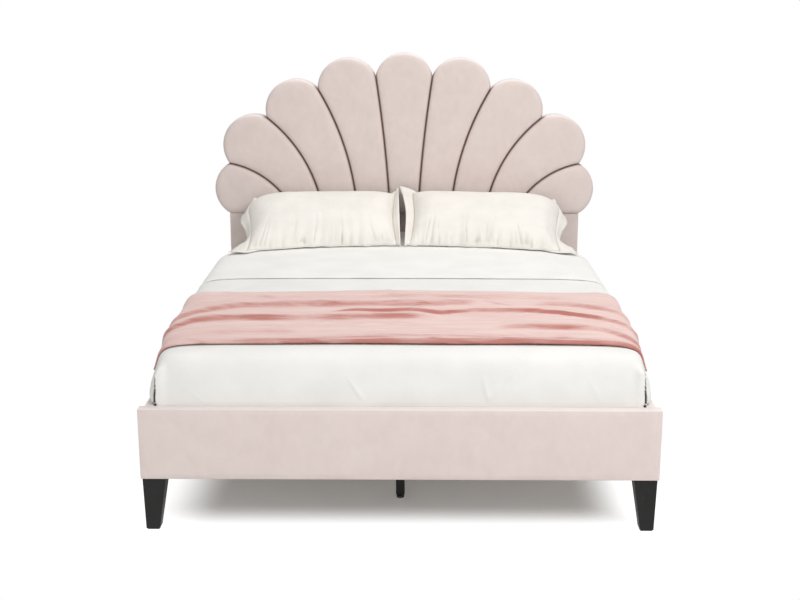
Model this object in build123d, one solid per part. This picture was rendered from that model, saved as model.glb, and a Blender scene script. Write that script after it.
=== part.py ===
from build123d import *
import os
from math import hypot

# Queen-size upholstered bed with a nine-petal headboard, dressed with a mattress,
# fitted sheet, coverlet, turned-down top sheet, throw and two pillows.
# Lengths are in millimetres. +Z is up, and the head of the bed is towards +Y.
# The origin is on the floor, under the middle of the bed's outer box.

# Driving sizes
mattress_width = 1524.0
mattress_length = 2032.0
mattress_depth = 254.0
mattress_side_gap = 8.0
mattress_foot_gap = 10.0
mattress_head_gap = 25.0
rail_thickness = 32.0
rail_set_in = 13.0
footboard_thickness = 40.0
leg_height = 176.0
rail_height = 230.0
deck_drop = 105.0
fan_lift = 85.7
fan_rise = 738.0
fan_overhang = 63.0

# Fits and finishing values shared by all pieces
rest_gap = 0.3
bolt_clearance = 0.1
cut_overrun = 5.0
sides = (-1, 1)

# Upholstery on the frame
pad_depth = 9.0
wrap_depth = 3.0
cover_edge_radius = 5.0

# Headboard layers, counted from the back face forwards
lining_thickness = 1.0
frame_depth = 26.0
board_thickness = 15.0
petal_depth = 45.0
petal_board_thickness = 9.0
lower_pad_depth = 25.0

# Headboard outline: seam ends as shares of the fan's half width and rise
notch_place_shares = ((0.148, 0.862), (0.451, 0.783), (0.720, 0.604), (0.9226, 0.317))
root_width_shares = (0.074, 0.248, 0.4305, 0.581)
seam_bow_shares = (0.013, 0.061, 0.100, 0.124)
tip_rise_shares = (0.392, 0.397, 0.380, 0.385, 0.285)
petal_gap = 1.0
petal_edge_radius = 17.0
petal_round_shares = ((0.0, 0.0), (0.06, 0.34), (0.22, 0.63), (0.5, 0.87), (1.0, 1.0))
petal_board_inset = 7.0
board_inset = 8.0
border_inset = 2.0
rim_width = 18.0
lower_pad_edge_radius = 6.0

# Headboard timber frame
post_width = 60.0
post_rise = 213.0
crossbar_height = 70.0
crossbar_rise = 35.0
stile_width = 60.0

# Petal screws
petal_screw_radius = 2.0
petal_screw_head_radius = 4.0
petal_screw_head_depth = 2.0
petal_screw_bite = 5.0
petal_screw_place_shares = (0.20, 0.50, 0.80)

# Tapered corner legs and their glides
leg_top_side = 74.0
leg_bottom_side = 44.0
leg_edge_cut = 2.0
leg_outer_taper = 4.0
leg_end_set_in = 4.0
leg_front_set_in = 10.0
glide_thickness = 4.0
glide_inset = 3.0

# Corner blocks, and the studs that hold the legs
corner_block_side = 64.0
leg_stud_radius = 4.0
leg_stud_from_rail = 12.0
leg_stud_from_panel = 14.0
leg_stud_in_leg = 40.0
leg_stud_block_share = 0.6

# Steel corner brackets, with their bolts, washers and wood screws
bracket_thickness = 3.0
bracket_rail_length = 80.0
bracket_panel_length = 40.0
bracket_height = 45.0
bracket_drop = 6.0
bolt_radius = 4.0
bolt_from_rail = 25.0
bolt_spacing = 22.0
bolt_head_height = 5.3
bolt_head_radius = 7.2
foot_bolt_length = 28.0
head_bolt_length = 62.0
washer_radius = 8.0
washer_thickness = 1.6
wood_screw_radius = 2.5
wood_screw_head_radius = 4.5
wood_screw_head_height = 2.0
wood_screw_length = 18.0
bracket_screw_pitch = 25.0

# Slat deck
slat_count = 13
slat_width = 70.0
slat_thickness = 14.0
slat_end_clearance = 3.0
slat_end_margin = 52.0
ledger_width = 30.0
ledger_height = 40.0
ledger_end_gap = 6.0
ledger_screw_count = 6
ledger_screw_length = 46.0
ledger_screw_end_margin = 120.0
strap_width = 25.0
strap_thickness = 1.5
strap_place_share = 0.5

# Centre beam, its hangers, legs and levelling feet
beam_width = 40.0
beam_height = 50.0
hanger_thickness = 2.5
hanger_reach = 40.0
hanger_ear = 25.0
hanger_clearance = 0.3
centre_leg_side = 29.5
centre_leg_edge_cut = 1.5
centre_leg_pitch_share = 0.38
centre_leg_lift = 14.0
centre_stud_in_leg = 30.0
centre_stud_in_beam = 35.0
foot_pad_radius = 13.0
foot_pad_height = 8.0
foot_pad_edge_radius = 3.0
foot_stem_radius = 4.0
foot_stem_top = 44.0
foot_bore_top = 62.0
foot_stem_clearance = 0.1

# Mattress and fitted sheet
ticking_thickness = 2.5
topper_depth = 55.0
mattress_corner_radius = 55.0
mattress_edge_radius = 38.0
sheet_thickness = 1.2
sheet_skirt_lift = 24.0

# Coverlet: thickness on the top, the swell of its sides, and where it is tucked in
coverlet_thickness = 6.5
coverlet_reach = 1985.0
coverlet_rail_clearance = 0.5
coverlet_hem_lift = 28.7
coverlet_swell = 25.0
coverlet_swell_height = 36.0
coverlet_rail_lift = 3.0
coverlet_shoulder = 58.0
coverlet_shoulder_shares = (0.30, 0.60)
coverlet_foot_drop = 67.0
coverlet_foot_run = 62.0
coverlet_corner_run = 50.0
coverlet_corner_step = 27.0

# Top sheet, turned down over the coverlet
turn_down_start = 1029.0
turn_down_thickness = 2.5
turn_down_hang = 130.0

# Throw: reach along the bed, hang over the sides, and its long soft folds
throw_thickness = 5.0
throw_from_foot = 87.0
throw_length = 728.0
throw_hang = 94.0
throw_fold_height = 5.5
throw_fold_shares = (0.0, 0.18, 0.73, 0.27, 1.0, 0.36, 0.64, 0.09, 0.91, 0.27, 0.82, 0.18, 0.0)

# Pillows
pillow_width = 762.0
pillow_spacing = 30.0
pillow_flange = 28.0
pillow_flange_thickness = 5.0
pillow_case_thickness = 3.0
pillow_head_gap = 40.0
pillow_depth = 400.0
pillow_foot_seam_lift = 20.0
pillow_head_seam_lift = 180.0
pillow_bed_reach = 210.0
pillow_crown = 52.0
pillow_back_swell = 18.0
# How far along the half width each cross-section stands, then its crown, its foot seam's
# reach towards the foot and its head seam's droop and draw towards the foot.
pillow_station_shares = (-1.0, -0.95, -0.80, -0.45, 0.0, 0.45, 0.80, 0.95, 1.0)
pillow_crown_shares = (0.10, 0.45, 0.84, 1.0, 0.98, 1.0, 0.84, 0.45, 0.10)
pillow_corner_reach = 50.0
pillow_corner_reach_shares = (1.0, 0.82, 0.45, 0.08, 0.0, 0.08, 0.45, 0.82, 1.0)
pillow_corner_droop = 78.0
pillow_corner_draw = 62.0
pillow_corner_droop_shares = (1.0, 0.60, 0.16, 0.0, 0.02, 0.0, 0.16, 0.60, 1.0)

# Places worked out from the sizes above
headboard_depth = lower_pad_depth + board_thickness + frame_depth + lining_thickness
inside_length = mattress_foot_gap + mattress_length + mattress_head_gap
bed_length = footboard_thickness + inside_length + headboard_depth
bed_front = -bed_length / 2
bed_back = bed_length / 2
footboard_back = bed_front + footboard_thickness
rail_inner = mattress_width / 2 + mattress_side_gap
rail_outer = rail_inner + rail_thickness
footboard_half = rail_outer + rail_set_in
rail_core_outer = rail_outer - pad_depth
rail_core_inner = rail_inner + wrap_depth
deck_height = leg_height + rail_height
frame_back = bed_back - lining_thickness
board_back = frame_back - frame_depth
board_front = board_back - board_thickness
lower_pad_front = board_front - lower_pad_depth
fan_front = board_front - petal_depth
ledger_top = deck_height - deck_drop
slat_top = ledger_top + slat_thickness
mattress_bottom = slat_top + rest_gap
mattress_top = mattress_bottom + mattress_depth
mattress_foot = footboard_back + mattress_foot_gap
mattress_head = mattress_foot + mattress_length
bedding_bottom = mattress_top + sheet_thickness
fan_half_width = footboard_half + fan_overhang
fan_base = mattress_top + fan_lift
fan_top = fan_base + fan_rise
post_top = fan_base + post_rise
crossbar_top = fan_base + crossbar_rise
block_top = ledger_top - bracket_drop - bracket_height
corner_block_height = block_top - leg_height
leg_stud_in_block = corner_block_height * leg_stud_block_share
bracket_middle = block_top + bracket_height / 2
beam_bottom = ledger_top - beam_height
inside_middle = (footboard_back + lower_pad_front) / 2
centre_leg_pitch = inside_length * centre_leg_pitch_share
panel_ends = ((-1, footboard_back), (1, lower_pad_front))


def block(x_span, y_span, z_span):
    """A straight-sided solid between three pairs of places."""
    spans = (x_span, y_span, z_span)
    sizes = [abs(high - low) for low, high in spans]
    centre = [(high + low) / 2 for low, high in spans]
    return Pos(*centre) * Box(*sizes)


def rod(start, direction, radius, length):
    """A round bar from a start point along a direction."""
    bar = Cylinder(radius, length, align=(Align.CENTER, Align.CENTER, Align.MIN))
    return Plane(origin=start, z_dir=direction) * bar


def hex_head(start, direction, radius, height):
    """A six-sided bolt head that stands on a start point."""
    head = extrude(RegularPolygon(radius, 6), amount=height)
    return Plane(origin=start, z_dir=direction) * head


def save(name, *solids):
    """Write one node, as a single solid or as a group of like solids."""
    shape = solids[0] if len(solids) == 1 else Compound(children=list(solids))
    export_step(shape, f"parts/{name}.step")


def face_of(*edges):
    """A flat face inside a closed chain of edges."""
    return make_face(Wire.combine(list(edges))[0].edges())


def standing(shape, back):
    """Stand a flat shape's solid upright, growing towards the foot from a back place."""
    return Plane(origin=(0, back, 0), x_dir=(1, 0, 0), z_dir=(0, -1, 0)) * shape


def bowed(start, end, bow):
    """A three-point arc whose middle stands off its chord, to the left of the way along it."""
    (x1, y1), (x2, y2) = start, end
    length = hypot(x2 - x1, y2 - y1)
    middle = ((x1 + x2) / 2 - (y2 - y1) / length * bow, (y1 + y2) / 2 + (x2 - x1) / length * bow)
    return ThreePointArc(start, middle, end)


# Footboard and side rails
def footboard():
    inner = footboard_half - pad_depth
    core = block((-inner, inner), (bed_front + pad_depth, footboard_back - wrap_depth),
                 (leg_height, deck_height - pad_depth))
    cover = block((-footboard_half, footboard_half), (bed_front, footboard_back),
                  (leg_height, deck_height))
    cover = fillet(cover.edges().filter_by(Axis.Z), cover_edge_radius)
    cover = fillet(cover.faces().sort_by(Axis.Z)[-1].edges(), cover_edge_radius)
    return core, cover - core


def side_rail(side):
    core = block((side * rail_core_inner, side * rail_core_outer), (footboard_back, lower_pad_front),
                 (leg_height, deck_height - pad_depth))
    cover = block((side * rail_inner, side * rail_outer), (footboard_back, lower_pad_front),
                  (leg_height, deck_height))
    top_edges = cover.faces().sort_by(Axis.Z)[-1].edges().filter_by(Axis.Y)
    cover = fillet(top_edges, cover_edge_radius)
    return core, cover - core


# Headboard outline
def seam_end(number):
    """The outer end of a seam, numbered outwards from the middle; the last is the fan's corner."""
    if abs(number) > len(notch_place_shares):
        return (footboard_half * number / abs(number), fan_base)
    across, up = notch_place_shares[abs(number) - 1]
    return (fan_half_width * across * number / abs(number), fan_base + fan_rise * up)


def seam_root(number):
    """The inner end of a seam, on the fan's straight underside."""
    if abs(number) > len(root_width_shares):
        return seam_end(number)
    return (fan_half_width * root_width_shares[abs(number) - 1] * number / abs(number), fan_base)


def seam(number, outwards):
    """One seam, bowed towards the middle of the fan."""
    root, end = seam_root(number), seam_end(number)
    chord = hypot(end[0] - root[0], end[1] - root[1])
    bow = seam_bow_shares[abs(number) - 1] * chord * number / abs(number)
    if outwards:
        return bowed(root, end, bow)
    return bowed(end, root, -bow)


def tip(left, right):
    """The round end of the petal between two seams, from right to left."""
    start, end = seam_end(right), seam_end(left)
    chord = hypot(end[0] - start[0], end[1] - start[1])
    rank = 0 if left * right < 0 else max(abs(left), abs(right)) - 1
    return bowed(start, end, -tip_rise_shares[rank] * chord)


fan_corner = len(notch_place_shares) + 1
seam_numbers = [number for number in range(-fan_corner, fan_corner + 1) if number]
petal_seams = tuple(zip(seam_numbers, seam_numbers[1:]))


def petal_face(left, right, inset):
    """The flat outline of one petal, drawn in by an inset."""
    edges = [Line(seam_root(left), seam_root(right))]
    if abs(right) <= len(notch_place_shares):
        edges.append(seam(right, True))
    edges.append(tip(left, right))
    if abs(left) <= len(notch_place_shares):
        edges.append(seam(left, False))
    return offset(face_of(*edges), amount=-inset)


def headboard_face(inset):
    """The whole headboard's outline, fan and lower panel, drawn in by an inset."""
    left, right = seam_end(seam_numbers[0]), seam_end(seam_numbers[-1])
    edges = [Line((left[0], leg_height), (right[0], leg_height)), Line((right[0], leg_height), right)]
    edges += [tip(*pair) for pair in reversed(petal_seams)]
    edges.append(Line(left, (left[0], leg_height)))
    return offset(face_of(*edges), amount=-inset)


def petal_middle(left, right, share):
    """A place on a petal's middle line, a share of the way from its root to its tip."""
    roots = (seam_root(left), seam_root(right))
    ends = (seam_end(left), seam_end(right))
    low = [(a + b) / 2 for a, b in zip(*roots)]
    high = [(a + b) / 2 for a, b in zip(*ends)]
    return [a + (b - a) * share for a, b in zip(low, high)]


def rounded_pad(left, right):
    """A petal's pad, whose front edge is rounded in narrow flat bands."""
    straight = petal_depth - petal_edge_radius
    sections = [petal_face(left, right, petal_gap / 2)]
    for across_share, up_share in petal_round_shares:
        face = petal_face(left, right, petal_gap / 2 + petal_edge_radius * across_share)
        sections.append(Pos(0, 0, straight + petal_edge_radius * up_share) * face)
    return loft(sections, ruled=True)


def petals():
    """Nine velvet pads, and the thin boards that they are stretched over, from left to right."""
    pads, boards = [], []
    for left, right in petal_seams:
        if right < 0:
            continue
        pad = rounded_pad(left, right)
        plate = extrude(petal_face(left, right, petal_board_inset), amount=petal_board_thickness)
        pads.append(standing(pad - plate, board_front))
        boards.append(standing(plate, board_front))
    left_pads = [mirror(pad, about=Plane.YZ) for pad in reversed(pads[1:])]
    left_boards = [mirror(plate, about=Plane.YZ) for plate in reversed(boards[1:])]
    return left_pads + pads, left_boards + boards


def petal_screw_places():
    return [petal_middle(left, right, share)
            for left, right in petal_seams for share in petal_screw_place_shares]


def petal_screw(place, grow):
    """A countersunk screw from behind the board into a petal's own board."""
    x, z = place
    length = board_thickness + petal_screw_bite
    shank = rod((x, board_back, z), (0, -1, 0), petal_screw_radius + grow, length + grow)
    head = rod((x, board_back, z), (0, -1, 0), petal_screw_head_radius + grow,
               petal_screw_head_depth + grow)
    return shank + head


def lower_panel():
    panel = block((-footboard_half, footboard_half), (lower_pad_front, board_front),
                  (leg_height, fan_base))
    front = panel.faces().sort_by(Axis.Y)[0]
    return fillet(front.edges(), lower_pad_edge_radius)


def headboard_layers():
    """The plywood board, the timber rim, its velvet border and the back lining."""
    board_shape = headboard_face(board_inset)
    board = standing(extrude(board_shape, amount=board_thickness), board_back)
    opening = headboard_face(board_inset + rim_width)
    rim = standing(extrude(board_shape - opening, amount=frame_depth), frame_back)
    border_depth = frame_depth + board_thickness
    border_shape = headboard_face(border_inset) - board_shape
    border = standing(extrude(border_shape, amount=border_depth), frame_back)
    lining = standing(extrude(headboard_face(border_inset), amount=lining_thickness), bed_back)
    return board, rim, border, lining


def headboard_timbers():
    """Two posts, and the crossbars and centre stile between them and the rim."""
    depth = (board_back, frame_back)
    post_outer = footboard_half - board_inset - rim_width
    post_inner = post_outer - post_width
    floor = leg_height + board_inset + rim_width
    posts = [block((side * post_inner, side * post_outer), depth, (floor, post_top))
             for side in sides]
    lower = block((-post_inner, post_inner), depth, (floor, floor + crossbar_height))
    middle = block((-post_inner, post_inner), depth, (crossbar_top - crossbar_height, crossbar_top))
    stile_top = fan_top - board_inset - rim_width - cut_overrun
    stile = block((-stile_width / 2, stile_width / 2), depth, (crossbar_top, stile_top))
    return posts, [lower, middle, stile]


# Legs
def square_with_cut_corners(side, cut):
    half = side / 2
    quarter = [(half, cut - half), (half, half - cut)]
    corners = []
    for turn in range(4):
        corners += quarter
        quarter = [(-y, x) for x, y in quarter]
    return Polygon(*corners, align=None)


def leg_place(side, end):
    """The middle of a corner leg: end is -1 at the foot and 1 at the head."""
    x = side * (footboard_half - leg_end_set_in - leg_top_side / 2)
    if end < 0:
        return x, bed_front + leg_front_set_in + leg_top_side / 2
    return x, lower_pad_front - leg_top_side / 2


def leg_foot_place(side, end):
    """The middle of a corner leg's lower end, whose outer faces are nearly upright."""
    x, y = leg_place(side, end)
    shift = (leg_top_side - leg_bottom_side) / 2 - leg_outer_taper
    return x + side * shift, y + end * shift


def stud_place(side, end):
    x = side * (rail_inner - leg_stud_from_rail)
    if end < 0:
        return x, footboard_back + leg_stud_from_panel
    return x, lower_pad_front - leg_stud_from_panel


def corner_leg(side, end):
    foot = square_with_cut_corners(leg_bottom_side, leg_edge_cut)
    head = square_with_cut_corners(leg_top_side, leg_edge_cut)
    bottom = Pos(*leg_foot_place(side, end), glide_thickness) * foot
    top = Pos(*leg_place(side, end), leg_height) * head
    return loft([bottom, top]) - leg_stud(side, end, bolt_clearance)


def leg_stud(side, end, grow):
    x, y = stud_place(side, end)
    low = leg_height - leg_stud_in_leg - grow
    length = leg_stud_in_leg + leg_stud_in_block + grow + grow
    return rod((x, y, low), (0, 0, 1), leg_stud_radius + grow, length)


def leg_glide(side, end):
    x, y = leg_foot_place(side, end)
    half = leg_bottom_side / 2 - glide_inset
    glide = block((x - half, x + half), (y - half, y + half), (0, glide_thickness))
    return fillet(glide.edges().filter_by(Axis.Z), glide_inset)


def corner_block(side, end):
    edge = footboard_back if end < 0 else lower_pad_front
    inner = rail_inner - corner_block_side
    shape = block((side * inner, side * rail_inner), (edge, edge - end * corner_block_side),
                  (leg_height, block_top))
    return shape - leg_stud(side, end, bolt_clearance)


# Corner brackets
def bolt_places(side, end, edge):
    x = side * (rail_inner - bolt_from_rail)
    y = edge - end * bracket_thickness
    return [(x, y, bracket_middle + up * bolt_spacing / 2) for up in sides]


def bracket_bolt(place, end, grow):
    """A bolt shank from a bracket into its panel."""
    length = foot_bolt_length if end < 0 else head_bolt_length
    x, y, z = place
    start = (x, y - end * washer_thickness, z)
    return rod(start, (0, end, 0), bolt_radius + grow, length + grow)


def bracket_screw_places(side, end, edge):
    x = side * (rail_inner - bracket_thickness)
    return [(x, edge - end * bracket_screw_pitch * step, bracket_middle) for step in (1, 2)]


def side_screw(place, side, length, grow):
    """A wood screw that goes outwards along X, with its head inside the bed."""
    shank = rod(place, (side, 0, 0), wood_screw_radius + grow, length + grow)
    head = rod(place, (-side, 0, 0), wood_screw_head_radius, wood_screw_head_height)
    return shank if grow else shank + head


def corner_bracket(side, end, edge):
    """A steel angle in the corner between a rail and an end panel."""
    inner = rail_inner - bracket_thickness
    heights = (block_top, block_top + bracket_height)
    along = block((side * inner, side * rail_inner), (edge, edge - end * bracket_rail_length), heights)
    across = block((side * (inner - bracket_panel_length), side * rail_inner),
                   (edge, edge - end * bracket_thickness), heights)
    shape = along + across
    for place in bolt_places(side, end, edge):
        shape -= bracket_bolt(place, end, bolt_clearance)
    for place in bracket_screw_places(side, end, edge):
        shape -= side_screw(place, side, wood_screw_length, bolt_clearance)
    return shape


def washer(place, end):
    x, y, z = place
    ring = rod((x, y, z), (0, -end, 0), washer_radius, washer_thickness)
    return ring - rod((x, y, z), (0, -end, 0), bolt_radius + bolt_clearance, washer_thickness)


def finished_bolt(place, end):
    x, y, z = place
    start = (x, y - end * washer_thickness, z)
    return bracket_bolt(place, end, 0) + hex_head(start, (0, -end, 0), bolt_head_radius,
                                                  bolt_head_height)


# Slat deck
ledger_inner = rail_inner - ledger_width
ledger_span = (footboard_back + bracket_rail_length + ledger_end_gap,
               lower_pad_front - bracket_rail_length - ledger_end_gap)
slat_span = (ledger_span[0] + slat_end_margin, ledger_span[1] - slat_end_margin)


def ledger_screw_places(side):
    low, high = (ledger_span[0] + ledger_screw_end_margin, ledger_span[1] - ledger_screw_end_margin)
    pitch = (high - low) / (ledger_screw_count - 1)
    x = side * ledger_inner
    z = ledger_top - ledger_height / 2
    return [(x, low + pitch * step, z) for step in range(ledger_screw_count)]


def ledger(side):
    strip = block((side * ledger_inner, side * rail_inner), ledger_span,
                  (ledger_top - ledger_height, ledger_top))
    for place in ledger_screw_places(side):
        strip -= side_screw(place, side, ledger_screw_length, bolt_clearance)
    return strip


def slats():
    half = rail_inner - slat_end_clearance
    pitch = (slat_span[1] - slat_span[0]) / (slat_count - 1)
    rows = []
    for step in range(slat_count):
        y = slat_span[0] + pitch * step
        rows.append(block((-half, half), (y - slat_width / 2, y + slat_width / 2),
                          (ledger_top, slat_top)))
    return rows


def straps():
    low, high = slat_span
    x = ledger_inner * strap_place_share
    return [block((side * x - strap_width / 2, side * x + strap_width / 2),
                  (low - slat_width / 2, high + slat_width / 2),
                  (ledger_top - strap_thickness, ledger_top)) for side in sides]


# Centre beam and its supports
beam_span = (footboard_back + hanger_thickness, lower_pad_front - hanger_thickness)
centre_legs = (("front", inside_middle - centre_leg_pitch), ("middle", inside_middle),
               ("rear", inside_middle + centre_leg_pitch))


def centre_stud(y, grow):
    low = beam_bottom - centre_stud_in_leg - grow
    length = centre_stud_in_leg + centre_stud_in_beam + grow + grow
    return rod((0, y, low), (0, 0, 1), leg_stud_radius + grow, length)


def centre_beam():
    beam = block((-beam_width / 2, beam_width / 2), beam_span, (beam_bottom, ledger_top))
    for _, y in centre_legs:
        beam -= centre_stud(y, bolt_clearance)
    return beam


def beam_hanger(end, edge):
    """A folded steel cup that carries one end of the beam."""
    half = beam_width / 2 + hanger_clearance
    outer = half + hanger_thickness
    low = beam_bottom - hanger_thickness
    cup = block((-outer, outer), (edge, edge - end * hanger_reach), (low, ledger_top))
    cup -= block((-half, half), (edge - end * hanger_thickness, edge - end * (hanger_reach + cut_overrun)),
                 (beam_bottom, ledger_top + cut_overrun))
    ears = block((-outer - hanger_ear, outer + hanger_ear), (edge, edge - end * hanger_thickness),
                 (low, ledger_top))
    cup += ears
    for place in hanger_screw_places(end, edge):
        cup -= end_screw(place, end, bolt_clearance)
    return cup


def hanger_screw_places(end, edge):
    x = beam_width / 2 + hanger_thickness + hanger_ear / 2
    z = ledger_top - beam_height / 2
    return [(side * x, edge - end * hanger_thickness, z) for side in sides]


def end_screw(place, end, grow):
    """A wood screw from a hanger's ear into an end panel."""
    shank = rod(place, (0, end, 0), wood_screw_radius + grow, wood_screw_length + grow)
    head = rod(place, (0, -end, 0), wood_screw_head_radius, wood_screw_head_height)
    return shank if grow else shank + head


def centre_leg(y):
    leg = extrude(square_with_cut_corners(centre_leg_side, centre_leg_edge_cut),
                  amount=beam_bottom - centre_leg_lift)
    leg = Pos(0, y, centre_leg_lift) * leg
    bore = rod((0, y, centre_leg_lift), (0, 0, 1), foot_stem_radius + foot_stem_clearance,
               foot_bore_top - centre_leg_lift)
    return leg - bore - centre_stud(y, bolt_clearance)


def levelling_foot(y):
    pad = rod((0, y, 0), (0, 0, 1), foot_pad_radius, foot_pad_height)
    pad = fillet(pad.faces().sort_by(Axis.Z)[-1].edges(), foot_pad_edge_radius)
    stem_base = foot_pad_height / 2
    return pad + rod((0, y, stem_base), (0, 0, 1), foot_stem_radius, foot_stem_top - stem_base)


# Mattress
def mattress_block(grow, low, high):
    """The mattress's rounded block, grown outwards, between two heights."""
    half_width = mattress_width / 2 + grow
    full_height = mattress_top + grow - mattress_bottom
    middle = (mattress_foot + mattress_head) / 2
    plan = RectangleRounded(half_width * 2, mattress_length + grow * 2, mattress_corner_radius + grow)
    body = Pos(0, middle, mattress_bottom) * extrude(plan, amount=full_height)
    body = fillet(body.faces().sort_by(Axis.Z)[-1].edges(), mattress_edge_radius + grow)
    slab = block((-rail_outer, rail_outer), (bed_front, bed_back), (low, high))
    return body & slab


def mattress():
    """Core, comfort layer, ticking and the fitted sheet over them."""
    layer_line = mattress_top - topper_depth
    above = mattress_top + fan_rise
    inner_low = mattress_bottom + ticking_thickness
    core = mattress_block(-ticking_thickness, inner_low, layer_line)
    topper = mattress_block(-ticking_thickness, layer_line, above)
    ticking = mattress_block(0, mattress_bottom, above) - core - topper
    skirt_low = mattress_bottom + sheet_skirt_lift
    sheet = mattress_block(sheet_thickness, skirt_low, above) - mattress_block(0, mattress_bottom, above)
    return core, topper, ticking, sheet


# Coverlet and throw
coverlet_inner_half = mattress_width / 2 + sheet_thickness + rest_gap
coverlet_tuck_half = rail_inner - coverlet_rail_clearance
coverlet_swell_half = coverlet_tuck_half + coverlet_swell
coverlet_top = bedding_bottom + rest_gap + coverlet_thickness
coverlet_hem = mattress_bottom + coverlet_hem_lift
coverlet_foot = footboard_back + coverlet_rail_clearance
coverlet_head_end = mattress_foot + coverlet_reach


def over_bed_face(grow, low):
    """The coverlet's cross-section over the bed, swollen above the rails, grown outwards."""
    rail_line = deck_height + coverlet_rail_lift
    swell_line = rail_line + coverlet_swell_height
    top_half = coverlet_swell_half - coverlet_shoulder
    across_share, down_share = coverlet_shoulder_shares
    shoulder_across = coverlet_swell_half + grow - coverlet_shoulder * across_share
    shoulder_up = coverlet_top + grow - (coverlet_top - swell_line) * (1 - down_share)
    right = [(coverlet_tuck_half, low), (coverlet_tuck_half, rail_line),
             (coverlet_swell_half + grow, swell_line), (top_half, coverlet_top + grow)]
    left = [(-x, z) for x, z in right]
    edges = [Line(left[0], right[0]), Line(right[0], right[1]), Line(right[1], right[2]),
             ThreePointArc(right[2], (shoulder_across, shoulder_up), right[3]), Line(right[3], left[3]),
             ThreePointArc(left[3], (-shoulder_across, shoulder_up), left[2]), Line(left[2], left[1]),
             Line(left[1], left[0])]
    return face_of(*edges)


def coverlet():
    """A quilted cover laid on the bed, tucked in at the sides and foot."""
    span = coverlet_head_end - coverlet_foot
    across = standing(extrude(over_bed_face(0, coverlet_hem), amount=span), coverlet_head_end)
    foot_line = coverlet_top - coverlet_foot_drop
    foot_start = coverlet_foot + coverlet_foot_run
    middle = (coverlet_foot + coverlet_foot_run * (1 - coverlet_shoulder_shares[1]) / 2,
              foot_line + coverlet_foot_drop * coverlet_shoulder_shares[1])
    side_edges = [Line((coverlet_foot, coverlet_hem), (coverlet_head_end, coverlet_hem)),
                  Line((coverlet_head_end, coverlet_hem), (coverlet_head_end, coverlet_top)),
                  Line((coverlet_head_end, coverlet_top), (foot_start, coverlet_top)),
                  ThreePointArc((foot_start, coverlet_top), middle, (coverlet_foot, foot_line)),
                  Line((coverlet_foot, foot_line), (coverlet_foot, coverlet_hem))]
    along = extrude(face_of(*side_edges), amount=coverlet_swell_half, both=True)
    along = Plane(origin=(0, 0, 0), x_dir=(0, 1, 0), z_dir=(1, 0, 0)) * along
    plan_half = coverlet_swell_half - coverlet_corner_step
    plan_run = coverlet_foot + coverlet_corner_run
    plan = [(plan_half, coverlet_foot), (coverlet_swell_half, plan_run),
            (coverlet_swell_half, coverlet_head_end)]
    mirrored = [(-x, y) for x, y in reversed(plan)]
    outline = Polygon(*(plan + mirrored), align=None)
    upright = Pos(0, 0, coverlet_hem) * extrude(outline, amount=coverlet_top - coverlet_hem)
    inner = mattress_block(sheet_thickness + rest_gap, mattress_bottom, coverlet_top)
    return (across & along & upright) - inner


throw_foot_end = mattress_foot + throw_from_foot
throw_head_end = throw_foot_end + throw_length
throw_hem_height = coverlet_top - throw_hang


def trimmed_section(grow, hem_height):
    """A cross-section over the coverlet, cut straight at its side hems."""
    limit = coverlet_swell_half + coverlet_shoulder
    window = Polygon((-limit, hem_height), (limit, hem_height),
                     (limit, coverlet_top + coverlet_shoulder), (-limit, coverlet_top + coverlet_shoulder),
                     align=None)
    return over_bed_face(grow, coverlet_hem) & window


def top_sheet():
    """The head end of the top sheet, folded back over the coverlet."""
    start = mattress_foot + turn_down_start
    span = coverlet_head_end - start
    face = trimmed_section(rest_gap + turn_down_thickness, coverlet_top - turn_down_hang)
    outer = standing(extrude(face, amount=span), coverlet_head_end)
    inner = standing(extrude(over_bed_face(rest_gap, coverlet_hem), amount=span + cut_overrun * 2),
                     coverlet_head_end + cut_overrun)
    return outer - inner


def throw_blanket():
    """Folds run from side to side: each cross-section along the bed is a little thicker or thinner."""
    pitch = throw_length / (len(throw_fold_shares) - 1)
    sections = []
    for step, share in enumerate(throw_fold_shares):
        thickness = throw_thickness + throw_fold_height * share
        face = trimmed_section(rest_gap + thickness, throw_hem_height).faces()[0]
        sections.append(standing(face, throw_head_end - pitch * step))
    outer = loft(sections, ruled=True)
    span = throw_length + cut_overrun * 2
    inner = standing(extrude(over_bed_face(rest_gap, coverlet_hem), amount=span),
                     throw_head_end + cut_overrun)
    return outer - inner


# Pillows
pillow_rest = coverlet_top + rest_gap + turn_down_thickness + rest_gap
pillow_half = pillow_width / 2 - pillow_flange
pillow_head_seam = fan_front - pillow_head_gap
pillow_foot_seam = pillow_head_seam - pillow_depth


def pillow_seams(step):
    """The foot and head seams of one cross-section, as (Y, Z) places."""
    reach = pillow_corner_reach * pillow_corner_reach_shares[step]
    droop = pillow_corner_droop_shares[step]
    foot = (pillow_foot_seam - reach, pillow_rest + pillow_foot_seam_lift)
    head = (pillow_head_seam - pillow_corner_draw * droop,
            pillow_rest + pillow_head_seam_lift - pillow_corner_droop * droop)
    return foot, head


def along_slope(foot, head):
    """Unit directions along and square to the slope of a cross-section."""
    run, rise = head[0] - foot[0], head[1] - foot[1]
    length = hypot(run, rise)
    return (run / length, rise / length), (-rise / length, run / length)


def moved(place, *steps):
    """A place moved by lengths along directions."""
    return tuple(value + sum(length * way[axis] for way, length in steps)
                 for axis, value in enumerate(place))


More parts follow.
